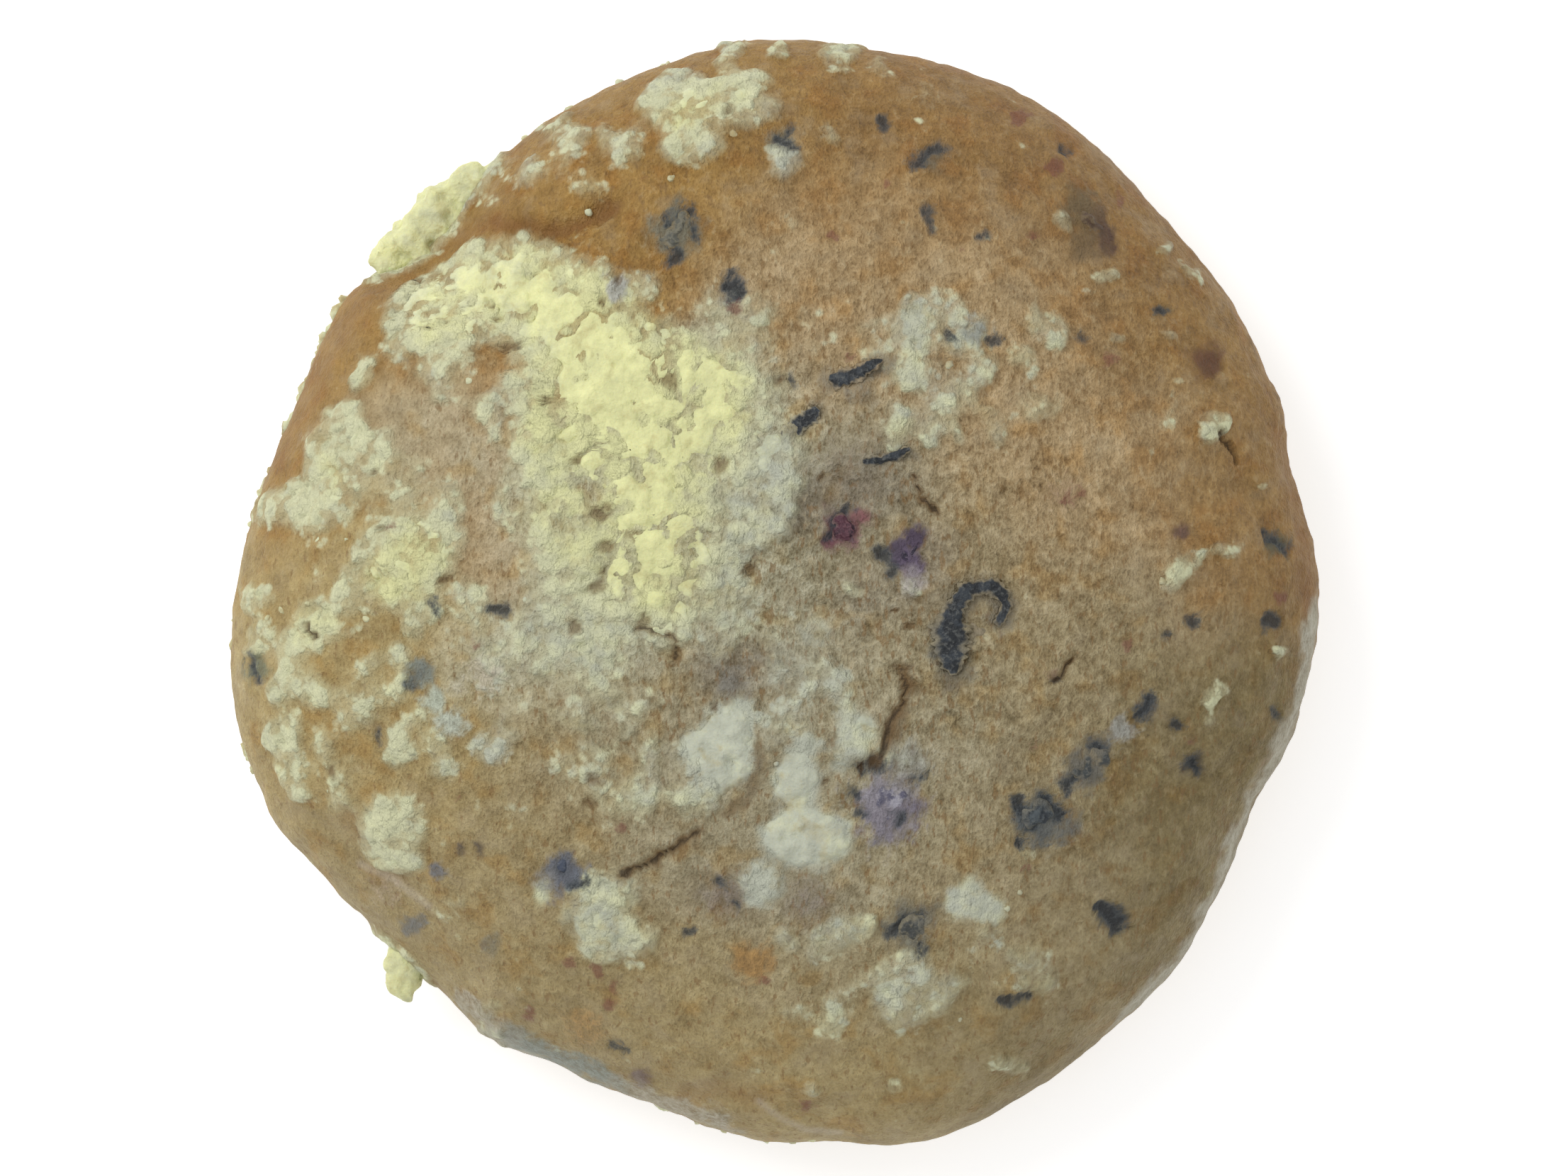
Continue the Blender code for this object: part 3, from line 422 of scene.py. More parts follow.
def cubic(p, q, r, s, t):
    """A smooth curve from q to r as t goes from 0 to 1, with p before them and s after."""
    return q + 0.5 * t * (r - p + t * (2 * p - 5 * q + 4 * r - s + t * (3 * (q - r) + s - p)))


def rumple(points, size, shift):
    """Noise between about -1 and 1 at each point."""
    offset = Vector((shift, 0, 0))
    return np.array([noise.noise(Vector(p) / size + offset) for p in points.tolist()])


def rumples(points, layers):
    """Layers of noise added up, each one a height, a size and a shift."""
    return sum(height * rumple(points, size, shift) for height, size, shift in layers)


def warped(points, layers, apart=4):
    """The plan places moved about by noise, so that round marks come out uneven."""
    others = [(height, size, shift + apart) for height, size, shift in layers]
    return points[:, 0] + rumples(points, layers), points[:, 1] + rumples(points, others)


def popcorn(points, size, shift):
    """Rounded bumps with creases between them: 1 on top of a bump, 0 in a crease."""
    offset = Vector((shift, 0, 0))
    near = np.array([noise.voronoi(Vector(p) / size + offset)[0][0] for p in points.tolist()])
    return np.sqrt(np.clip(1 - (near / 0.8) ** 2, 0, 1))


def union_field(x, y, blobs, flatness):
    """How strongly each point belongs to any of the blobs (x, y, radius, strength), from 0 to 1."""
    miss = np.ones(len(x))
    for bx, by, radius, strength in blobs:
        miss *= 1 - strength * np.exp(-((((x - bx) ** 2 + (y - by) ** 2) / radius**2) ** flatness))
    return 1 - miss


def distance_to_run(x, y, run):
    """How far each point is from a run of straight stretches."""
    nearest = np.full(np.shape(x), np.inf)
    for (ax, ay), (bx, by) in zip(run, run[1:]):
        dx, dy = bx - ax, by - ay
        t = np.clip(((x - ax) * dx + (y - ay) * dy) / (dx * dx + dy * dy), 0, 1)
        nearest = np.minimum(nearest, np.hypot(x - ax - dx * t, y - ay - dy * t))
    return nearest


def on_runs(x, y, runs, outer, inner, waver=0):
    """How strongly each point lies on any run: fully within inner half-widths, not at all beyond outer."""
    strongest = np.zeros(len(x))
    for half_width, strength, run in runs:
        away = distance_to_run(x, y, run) * (1 + waver) / half_width
        strongest = np.maximum(strongest, strength * smooth(away, outer, inner))
    return strongest


def depth_in(marks, waver):
    """How deep each point lies in any mark, from its half-width and its distance; -1 well outside."""
    return np.maximum(-1, np.max([half_width - away * (1 + waver) for half_width, away in marks], axis=0))


# ---------------------------------------------------------------- the crust's surface


def rim_radius(angle):
    """How far out the rim is, towards each angle."""
    count = len(RIM_RADII)
    place = np.mod(angle, math.tau) * count / math.tau
    first = np.floor(place).astype(int)
    radii = np.array(RIM_RADII)
    radius = cubic(*(radii[(first + k) % count] for k in (-1, 0, 1, 2)), place - first)
    for middle, width, height in RIM_SWELLS:
        apart = np.mod(np.degrees(angle) - middle + 180, 360) - 180
        radius = radius + height * np.exp(-((apart / width) ** 2))
    return radius


def dome_height(share):
    """The dome's height above the rim, at a share of the radius."""
    return (CROWN_HEIGHT - RIM_HEIGHT) * np.sqrt(1 - share**DOME_FLATNESS)


def crust_height(x, y):
    """The smooth crust's height at places on the plan."""
    share = np.minimum(1, np.hypot(x, y) / rim_radius(np.arctan2(y, x)))
    relief = sum(h * np.exp(-((x - cx) ** 2 + (y - cy) ** 2) / r**2) for cx, cy, r, h in SWELLS)
    relief = relief + sum(h * np.exp(-((distance_to_run(x, y, run) / w) ** 2)) for w, h, run in FOLDS)
    for size, h in RIPPLES:
        ripple = [noise.noise(Vector((a / size, b / size, SEED))) for a, b in zip(np.ravel(x), np.ravel(y))]
        relief = relief + h * np.reshape(ripple, np.shape(x))
    return RIM_HEIGHT + dome_height(share) + relief * (1 - share**8)


def crust_spot(x, y):
    """A place on the crust and the way out of it."""
    step = 0.5
    xs = np.array([x, x - step, x + step, x, x])
    ys = np.array([y, y, y, y - step, y + step])
    z, left, right, near, far = crust_height(xs, ys)
    return Vector((x, y, z)), Vector((left - right, near - far, 2 * step)).normalized()


def on_cake(x, y, share=0.985):
    """Whether a place lies within a share of the cake's radius."""
    return math.hypot(x, y) < share * float(rim_radius(math.atan2(y, x)))


def from_hole(x, y):
    """How far a place is from the nearest hole's edge."""
    return min(math.hypot(x - hx, y - hy) - radius for hx, hy, radius in HOLES)


# ---------------------------------------------------------------- meshes
RINGS = 140
SIDE_ROWS = 15


def ring_shares():
    """The share of the radius at each ring, so that rings are evenly spaced along the dome."""
    share = np.linspace(0, 1, 4001)
    steps = np.hypot(np.diff(share) * MEAN_RADIUS, np.diff(dome_height(share)))
    along = np.concatenate([[0], np.cumsum(steps)])
    return np.interp(np.linspace(0, along[-1], RINGS + 1), along, share)


def dome_grid():
    """The dome on a square net bent to the round outline: its points, its quads and the rim's points."""
    side = 2 * RINGS + 1
    i, j = np.meshgrid(np.arange(-RINGS, RINGS + 1), np.arange(-RINGS, RINGS + 1), indexing="ij")
    i, j = i.ravel(), j.ravel()
    ring = np.maximum(abs(i), abs(j))
    wide = abs(i) >= abs(j)
    with np.errstate(divide="ignore", invalid="ignore"):
        beside = math.pi / 4 * j / i + (i < 0) * math.pi
        above = math.pi / 2 - math.pi / 4 * i / j + (j < 0) * math.pi
    angle = np.nan_to_num(np.where(wide, beside, above))
    radius = rim_radius(angle) * ring_shares()[ring]
    x, y = radius * np.cos(angle), radius * np.sin(angle)
    number = np.arange(side * side).reshape(side, side)
    quads = np.stack([number[:-1, :-1], number[1:, :-1], number[1:, 1:], number[:-1, 1:]], -1).reshape(-1, 4)
    edge = np.flatnonzero(ring == RINGS)
    edge = edge[np.argsort(np.mod(angle[edge], math.tau))]
    return np.column_stack([x, y, crust_height(x, y)]), quads, edge


def cake_net():
    """The dome, the side and the flat foot as one closed net of points and faces."""
    points, quads, edge = dome_grid()
    faces = quads.tolist()
    angle = np.arctan2(points[edge, 1], points[edge, 0])
    rim = rim_radius(angle)
    above = edge
    for row in range(1, SIDE_ROWS + 1):
        turn = row / SIDE_ROWS * math.pi / 2
        radius = rim - FOOT_INSET * (1 - math.cos(turn))
        height = np.full(len(edge), RIM_HEIGHT * (1 - math.sin(turn)))
        below = np.arange(len(points), len(points) + len(edge))
        level = np.column_stack([radius * np.cos(angle), radius * np.sin(angle), height])
        points = np.vstack([points, level])
        faces += np.column_stack([above, below, np.roll(below, -1), np.roll(above, -1)]).tolist()
        above = below
    return points, [*faces, above[::-1].tolist()]


def new_object(name, mesh):
    made = bpy.data.objects.new(name, mesh)
    bpy.context.scene.collection.objects.link(made)
    return made


def mesh_from(name, points, faces):
    """A smooth mesh object in metres from points in millimetres."""
    mesh = bpy.data.meshes.new(name)
    mesh.from_pydata((np.asarray(points) * MM).tolist(), [], faces)
    mesh.shade_smooth()
    return new_object(name, mesh)


def built_object(name, builder):
    """An object from a mesh that has been built, in the builder's own units."""
    mesh = bpy.data.meshes.new(name)
    builder.to_mesh(mesh)
    builder.free()
    return new_object(name, mesh)


def apply_modifiers(piece):
    """Turns what a piece's modifiers make of it into its own mesh."""
    graph = bpy.context.evaluated_depsgraph_get()
    piece.data = bpy.data.meshes.new_from_object(piece.evaluated_get(graph))
    piece.modifiers.clear()


def vertex_values(collection, key):
    """A vector of each vertex, one a row."""
    flat = np.zeros(len(collection) * 3, np.float32)
    collection.foreach_get(key, flat)
    return flat.reshape(-1, 3).astype(float)


def vertex_points(piece, unit=MM):
    """Each vertex's place in millimetres, when the mesh is in units of that size."""
    return vertex_values(piece.data.vertices, "co") / unit


def swell(piece, points, relief):
    """Moves the vertices to points pushed out by relief, in millimetres, and returns where they are."""
    moved = points + vertex_values(piece.data.vertex_normals, "vector") * relief[:, None]
    piece.data.vertices.foreach_set("co", (moved * MM).astype(np.float32).ravel())
    piece.data.update()
    piece.data.shade_smooth()
    return moved


def paint(piece, **fields):
    """Stores a value or a colour for each vertex under each name."""
    for name, values in fields.items():
        coloured = values.ndim == 2
        if coloured:
            values = np.column_stack([values, np.ones(len(values))])
        layer = piece.data.attributes.new(name, "FLOAT_COLOR" if coloured else "FLOAT", "POINT")
        layer.data.foreach_set("color" if coloured else "value", values.astype(np.float32).ravel())


# ---------------------------------------------------------------- fields on the crust
# Layers of noise: height, size and shift.
MARK_DRIFT = ((0.6, 1.6, 71), (0.3, 0.7, 73))
TINT_DRIFT = ((3, 7, 31),)
CRUMB_DRIFT = ((1.5, 4.5, 31), (0.6, 1.7, 33))
CRUMB_PATCHES = ((0.4, 3.2, 5), (0.3, 1.6, 7))
WOBBLE = ((1, 1.1, 2), (0.6, 0.5, 4))
RAGGED = ((0.8, 2.2, 51), (0.4, 0.9, 52))
CRUST_LUMPS = ((0.34, 3.4, 5), (0.26, 1.9, 9), (0.16, 0.95, 13))
BERRY_LUMPS = ((0.45, 1.5, 4), (0.25, 0.7, 8))
LOOSE_LUMPS = ((0.4, 0.7, 3), (0.2, 0.35, 5))

# The side turns to pale gold between these heights.
GOLD_FROM, GOLD_BELOW = 8.5, 3.5
# How crumbs gather next to a piece of crumble.
HALO_STRENGTH, HALO_REACH = 0.9, 1.6


def bent(points):
    """The plan places of the marks on the crust."""
    return warped(points, MARK_DRIFT)


def ground_at(points):
    """The colour of the crust at each point, with its stains, painted sheen and painted shadow."""
    stain, strength = stain_fields(*bent(points), rumple(points, 1.1, 2))
    share = (0.9 * strength)[:, None]
    return tint_at(points) * (1 - share) + stain * share


def bare_at(x, y):
    """1 away from the smooth pale lumps, 0 on them, with a soft edge."""
    return 1 - union_field(x, y, MILKY, 1.6)


def yellow_at(x, y):
    """How yellow crumble is: 0 ashen, about 0.4 cream, 1 butter."""
    cream = 0.32 + 0.12 * smooth(x, -24, -38)
    return np.maximum(cream * (1 - union_field(x, y, ASH_BLOBS, 1)), union_field(x, y, YELLOW_BLOBS, 1))


def split_at(x, y, wobble):
    """How deep each point lies in a split or a hole, from 0 to 1."""
    deep = on_runs(x, y, SPLITS, 1.7, 0.3, 0.5 * wobble)
    for hx, hy, radius in HOLES:
        away = np.hypot(x - hx, y - hy) * (1 + 0.4 * wobble) / radius
        deep = np.maximum(deep, 0.75 * smooth(away, 1.2, 0.6))
    return deep


def tint_at(points):
    """The crust's colour at each point, blended from the patches, with partly painted shade on the lower
    right rim.
    """
    x, y = warped(points, TINT_DRIFT, 16)
    total = np.zeros((len(x), 3))
    weight = np.full(len(x), 1e-6)
    for name, patches in TINT_PATCHES.items():
        colour = np.array(linear(TINTS[name]))
        for px, py, radius in patches:
            near = np.exp(-(((x - px) ** 2 + (y - py) ** 2) / radius**2))
            total += near[:, None] * colour
            weight += near
    return total / weight[:, None]


def under_at(points, tint):
    """The crust's colour, turning to pale gold low on the side, where it has browned least."""
    low = smooth(points[:, 2] + 2 * rumples(points, RAGGED), GOLD_FROM, GOLD_BELOW)[:, None]
    return tint * (1 - low) + np.array(linear(UNDER)) * low


def side_at(points):
    """Where the pale side shows in bands along the rim."""
    x, y, z = points.T
    ragged = rumples(points, RAGGED)
    outside = np.min([distance_to_run(x, y, run) - half_width for half_width, run in SIDE_BANDS], axis=0)
    return smooth(outside + ragged, 0.5, -0.5) * smooth(z + 2 * ragged, RIM_HEIGHT - 1, RIM_HEIGHT + 3)


def crumbliness(points, halo):
    """How crumbly the crust is: below about 0.3 it is plain crust, and above about 0.7 it is all crumbs."""
    field = np.maximum(union_field(*warped(points, CRUMB_DRIFT), PALE_BLOBS, 1.5), halo)
    x = points[:, 0]
    left = 0.06 * smooth(x, 10, -25) + 0.05 * smooth(x, -26, -40)
    plain = 0.22 * smooth(field, 0.45, 0.05)
    return 0.85 * field + left + rumples(points, CRUMB_PATCHES) - plain


def stain_fields(x, y, wobble):
    """The colour and the strength at each point of berry stains, of painted sheen on shiny spots and of
    painted shadow along two splits.
    """
    colour = np.full((len(x), 3), linear(NAVY))
    strength = np.zeros(len(x))
    spots = [(np.hypot(x - sx, y - sy) / radius, power, rgb) for sx, sy, radius, power, rgb in STAINS_AND_SHEEN]
    runs = [(distance_to_run(x, y, run) / half, power, rgb) for half, power, rgb, run in STAIN_AND_SHADOW_RUNS]
    for away, power, rgb in spots + runs:
        here = power * smooth(away * (1 + 0.4 * wobble), 1.3, 0.25)
        share = (here / (here + strength + 1e-6))[:, None]
        colour = np.where(here[:, None] > 0, colour * (1 - share) + np.array(linear(rgb)) * share, colour)
        strength = np.maximum(strength, here)
    return colour, strength


def porosity(points):
    """How open the crust's crumb is: most round the middle, least on the smooth folds and near the rim."""
    x, y = points[:, 0], points[:, 1]
    open_crumb = np.clip(1.2 - np.hypot(x - 6, y - 2) / 50, 0.12, 1) * (0.7 + 0.3 * smooth(x, -42, -20))
    return open_crumb * (0.25 + 0.75 * smooth(distance_to_run(x, y, FOLDS[0][2]), 2, 8))


def fine_relief(points, crumbly):
    """The crust's pores, wrinkles and crumbs, in millimetres along the way out of it."""
    open_crumb = porosity(points)
    pits = -0.35 * smooth(rumple(points, 1.4, 61), 0.28, 0.5) * smooth(rumple(points, 7, 21), -0.2, 0.3)
    crumbs = smooth(crumbly, 0.28, 0.7) * (0.1 + 0.5 * popcorn(points, 1.6, 3))
    return (0.35 + 0.65 * open_crumb) * rumples(points, CRUST_LUMPS) + open_crumb * pits + crumbs


def make_crust(pieces):
    """The cake's whole surface, with its relief and its painted fields, next to the pieces that lie in it."""
    points, faces = cake_net()
    crust = mesh_from("cake_crust", points, faces)
    x, y, z = points.T
    wobble = rumples(points, WOBBLE)
    place = bent(points)
    top = smooth(z, RIM_HEIGHT - 4, RIM_HEIGHT - 1)
    crumbly = crumbliness(points, halo_of(pieces, points))
    stain, strength = stain_fields(*place, wobble)
    scrap_marks = [(half, distance_to_run(*place, ((ax, ay), (bx, by)))) for ax, ay, bx, by, half in SCRAPS]
    scraps = depth_in(scrap_marks, 0.5 * wobble)
    specks = [(radius, np.hypot(place[0] - sx, place[1] - sy)) for sx, sy, radius in RED_SPECKS]
    splits = split_at(*place, wobble)
    creases = on_runs(*place, CREASES, 1.5, 0)
    sunk = 0.3 * smooth(scraps, -0.3, 0.2) + 0.55 * splits + 0.3 * creases
    swell(crust, points, (fine_relief(points, crumbly) - sunk) * top * smooth(z, 0.2, 2.5))
    paint(
        crust,
        tint=under_at(points, tint_at(points)),
        side=side_at(points),
        crumbly=np.where(top > 0.2, crumbly, 0),
        yellow=yellow_at(x, y),
        bare=np.where(top > 0.2, bare_at(*place), 1),
        stain=stain,
        stained=strength * smooth(z + wobble, RIM_HEIGHT - 1.5, RIM_HEIGHT + 1.5),
        scrap=np.where(top > 0.3, scraps, -1),
        red=np.where(top > 0.3, depth_in(specks, 0.4 * wobble), -1),
        # Painted shade along the crust's folds.
        fold=creases * top,
        glint=on_runs(x, y, GLINTS, 1.6, 0.4) * top,
        split=splits * top,
        pores=porosity(points) * top,
    )
    return crust


def halo_of(pieces, points):
    """How near each point is to one of the crumble pieces, from 0 to 1."""
    spots = np.vstack([vertex_points(piece)[::6] for piece in pieces if "centre" not in piece.name])
    tree = kdtree.KDTree(len(spots))
    for number, spot in enumerate(spots.tolist()):
        tree.insert(spot, number)
    tree.balance()
    reach = np.array([tree.find(p)[2] for p in points.tolist()])
    return HALO_STRENGTH * np.exp(-((reach / HALO_REACH) ** 2))


# ---------------------------------------------------------------- crumble, berries and crumbs
GRAINS_PER_MM2 = 1.5
VOXEL = 0.28
STRIP_RISE, STRIP_STEPS, STRIP_SIDES = 0.14, 16, 20


def grains_object(name, grains, draw, subdivisions):
    """An object of many uneven balls, from each one's centre and radius, in millimetres."""
    builder = bmesh.new()
    for centre, radius in grains:
        squash = [draw.uniform(0.7, 1.15) for _ in range(3)]
        turn = Matrix.Rotation(draw.uniform(0, math.tau), 4, Vector([draw.uniform(-1, 1) for _ in range(3)]))
        size = Matrix.Diagonal((*(radius * s for s in squash), 1))
        matrix = Matrix.Translation(centre) @ turn @ size
        bmesh.ops.create_icosphere(builder, subdivisions=subdivisions, radius=1, matrix=matrix)
    return built_object(name, builder)


def cad_triangles(node):
    """The corners and the outward direction of each triangle of a CAD piece, in millimetres."""
    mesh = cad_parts[node].data
    mesh.calc_loop_triangles()
    for triangle in mesh.loop_triangles:
        corners = [mesh.vertices[v].co / MM for v in triangle.vertices]
        yield corners, triangle.normal.copy(), triangle.area / MM**2


def scatter_on(node, draw, per_mm2, upward=-1):
    """Random places on a CAD piece's faces that look up enough, with the way out of each."""
    for (a, b, c), facing, area in cad_triangles(node):
        if facing.z < upward:
            continue
        wanted = area * per_mm2
        for _ in range(int(wanted) + (draw.random() < wanted % 1)):
            u, v = sorted((draw.random(), draw.random()))
            yield a * u + b * (v - u) + c * (1 - v), facing


def thickness_at(tree, spot):
    """How thick a CAD piece is straight below a place on it."""
    hit = tree.ray_cast(spot - Vector((0, 0, 0.05)), Vector((0, 0, -1)))
    return hit[3] if hit[0] is not None else 0


def place_in_disc(draw, x, y, radius, evenness=0.5):
    """A random place in a disc."""
    bearing, out = draw.uniform(0, math.tau), radius * draw.random() ** evenness
    return x + out * math.cos(bearing), y + out * math.sin(bearing)


def crumble_spots(node, draw):
    """Places where a CAD piece of crumble lies or spreads, with half the crumble's thickness."""
    corners = [tuple(p) for triangle in cad_triangles(node) for p in triangle[0]]
    tree = BVHTree.FromPolygons(corners, [(k, k + 1, k + 2) for k in range(0, len(corners), 3)])
    for spot, _ in scatter_on(node, draw, GRAINS_PER_MM2, 0.15):
        yield spot.x, spot.y, thickness_at(tree, spot) / 2
    discs = SPREADS.get(node, ())
    for disc in discs:
        for _ in range(int(math.pi * disc[2] ** 2 * GRAINS_PER_MM2)):
            x, y = place_in_disc(draw, *disc)
            yield x, y, max(radius - math.hypot(x - cx, y - cy) for cx, cy, radius in discs)


def flat_grains(node, draw):
    """Grains of crumble that lie in the crust."""
    for x, y, depth in list(crumble_spots(node, draw)):
        gap = from_hole(x, y)
        if not on_cake(x, y) or gap < 0.2:
            continue
        spot, facing = crust_spot(x, y)
        radius = min(2, 0.35 + depth * draw.uniform(0.15, 0.75), 0.3 + gap)
        rise = 0.2 + min(1, depth / 2.5) * draw.uniform(0, 0.9) + 0.15 * (node == "crumble_band")
        if smooth_kind(node):
            milky = 1 - float(bare_at(np.array([x]), np.array([y]))[0])
            radius, rise = 1.2, -0.5 + (0.85 + min(0.5, depth / 3)) * milky
        yield spot + facing * (rise - radius), radius


def rim_grains(node, draw):
    """Grains of crumble stuck to the side under the rim, reaching in to the cake."""
    for spot, facing in scatter_on(node, draw, 1.2):
        radius = 0.4 + 0.9 * draw.random() ** 1.5
        outward = Vector((spot.x, spot.y, 0)).normalized()
        inward = -outward * 3.2 * draw.random()
        if node == "crumble_rim_upper" and facing.dot(outward) > 0.3:
            spot = spot + outward * 0.5
        yield spot - facing * radius * draw.uniform(0.5, 1.1), radius
        yield spot + inward - facing * radius, radius
        yield spot + inward * 0.5 - facing * radius, radius


def melt(piece):
    """Melts a piece's grains into one fine mesh."""
    remesh = piece.modifiers.new("Melt", "REMESH")
    remesh.mode = "VOXEL"
    remesh.voxel_size = VOXEL
    piece.modifiers.new("Even", "SMOOTH").iterations = 5
    apply_modifiers(piece)


def smooth_kind(node):
    """Whether a piece of crumble is one smooth lump."""
    return "centre" in node or "lower_left" in node


def make_crumble(node, number):
    """The fine piece that stands for a CAD piece of crumble."""
    draw = random.Random(SEED + number)
    on_rim, even = "rim" in node, smooth_kind(node)
    grains = rim_grains(node, draw) if on_rim else flat_grains(node, draw)
    piece = grains_object(f"{node}_grains", grains, draw, 1)
    melt(piece)
    points = vertex_points(piece, 1)
    bumps = 0.26 * (popcorn(points, 1.9, 4) - 0.6) + 0.12 * (popcorn(points, 0.8, 8) - 0.6)
    pits = -0.4 * smooth(rumple(points, 1.6, 61), 0.3, 0.5)
    points = swell(piece, points, (bumps + pits) * (0.3 if even else 0.55))
    x, y, z = points.T
    nothing = np.zeros(len(x))
    above = z if on_rim else z - crust_height(x, y)
    paint(
        piece,
        yellow=nothing + 0.75 if on_rim else yellow_at(x, y),
        thin=smooth(above, 0.4, -0.1) * (0.2 if node == "crumble_band" else 0.45),
        bare=bare_at(*bent(points)) if even else nothing,
        ground=ground_at(points),
    )
    return piece


def make_berry(node):
    """The fine piece that stands for a CAD berry."""
    builder = bmesh.new()
    builder.from_mesh(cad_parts[node].data)
    bmesh.ops.remove_doubles(builder, verts=builder.verts, dist=1e-6)
    piece = built_object(f"{node}_fruit", builder)
    piece.modifiers.new("Fine", "SUBSURF").levels = 3
    apply_modifiers(piece)
    points = vertex_points(piece)
    points = swell(piece, points, rumples(points, BERRY_LUMPS) - 0.16)
    x, y, z = points.T
    paint(piece, thin=smooth(z - crust_height(x, y), 0.25, -0.2), ground=ground_at(points))
    return piece


def field_crumbs(draw):
    """Loose crumbs on the crust: where each is and its radius."""
    for field_x, field_y, field, count, low, high in GRAIN_FIELDS:
        for _ in range(count):
            x, y = place_in_disc(draw, field_x, field_y, field, 0.6)
            radius = low + (high - low) * draw.random() ** 2
            if on_cake(x, y, 0.97) and from_hole(x, y) > 0.6:
                spot, facing = crust_spot(x, y)
                yield spot + facing * radius * draw.uniform(-0.85, -0.4), radius


def rim_crumbs(draw):
    """Crumbs stuck on the cake's edge: where each is and its radius."""
    for start, end, count, low, high in RIM_CRUMBS:
        for _ in range(count):
            angle = math.radians(draw.uniform(start, end))
            turn = draw.uniform(-0.1, 0.6)
            radius = draw.uniform(low, high)
            out = float(rim_radius(angle)) - FOOT_INSET * (1 - math.cos(turn)) - radius * draw.uniform(0.4, 1)
            height = RIM_HEIGHT * (1 - math.sin(turn))
            yield Vector((out * math.cos(angle), out * math.sin(angle), height)), radius


def make_loose_crumbs():
    """Loose crumbs all over the crust, as one mesh."""
    draw = random.Random(SEED + 1)
    piece = grains_object("loose_crumbs", [*field_crumbs(draw), *rim_crumbs(draw)], draw, 2)
    points = vertex_points(piece, 1)
    points = swell(piece, points, rumples(points, LOOSE_LUMPS))
    paint(
        piece,
        yellow=yellow_at(points[:, 0], points[:, 1]),
        thin=0.4 + 0.6 * smooth(rumple(points, 2.5, 9), -0.3, 0.4),
        bare=np.zeros(len(points)),
        ground=ground_at(points),
    )
    return piece


def spline(places, t):
    """A smooth curve through places, at t from 0 to 1."""
    at = t * (len(places) - 1)
    first = min(int(at), len(places) - 2)
    four = (np.array(places[min(max(first + k, 0), len(places) - 1)]) for k in (-1, 0, 1, 2))
    return cubic(*four, at - first)


def strip_ring(places, share):
    """One ring of a strip's flattened tube."""
    x, y, half_width = spline(places, share)
    ahead = spline(places, min(1, share + 0.02)) - spline(places, max(0, share - 0.02))
    spot, facing = crust_spot(x, y)
    across = facing.cross(Vector((ahead[0], ahead[1], 0))).normalized()
    for m in range(STRIP_SIDES):
        turn = m / STRIP_SIDES * math.tau
        side = across * math.cos(turn)
        ragged = 1 + 0.5 * noise.noise((spot + side) * 1.1) + 0.45 * noise.noise((spot + side) * 2.8)
        rise = STRIP_RISE * (0.3 + ragged) * math.sin(turn) + 0.12
        yield spot + side * 1.2 * half_width * ragged + facing * rise


def make_strip(name, places):
    """A flat, uneven strip that lies on the crust, as a closed tube that thins out to its edges."""
    steps, around = STRIP_STEPS * len(places), STRIP_SIDES
    points = [tuple(p) for k in range(steps + 1) for p in strip_ring(places, k / steps)]
    faces = [tuple(range(around))[::-1], tuple(steps * around + m for m in range(around))]
    for start in range(0, steps * around, around):
        for m in range(around):
            n = (m + 1) % around
            faces.append((start + m, start + n, start + around + n, start + around + m))
    piece = mesh_from(name, points, faces)
    across = np.abs(np.cos(np.arange(around) * math.tau / around))
    along = np.abs(np.arange(steps + 1) / steps * 2 - 1)
    thin = np.maximum(smooth(across, 0.2, 0.9)[None, :], smooth(along, 0.85, 1)[:, None])
    paint(piece, thin=thin.ravel(), ground=ground_at(vertex_points(piece)))
    return piece


# ---------------------------------------------------------------- materials
# The sockets of a node that mixes colours.
MIX_SHARE, MIX_FROM, MIX_TO, MIXED = 0, 6, 7, 2
SWIRL_SIZE, SWIRL_REACH = 1.2, 0.9


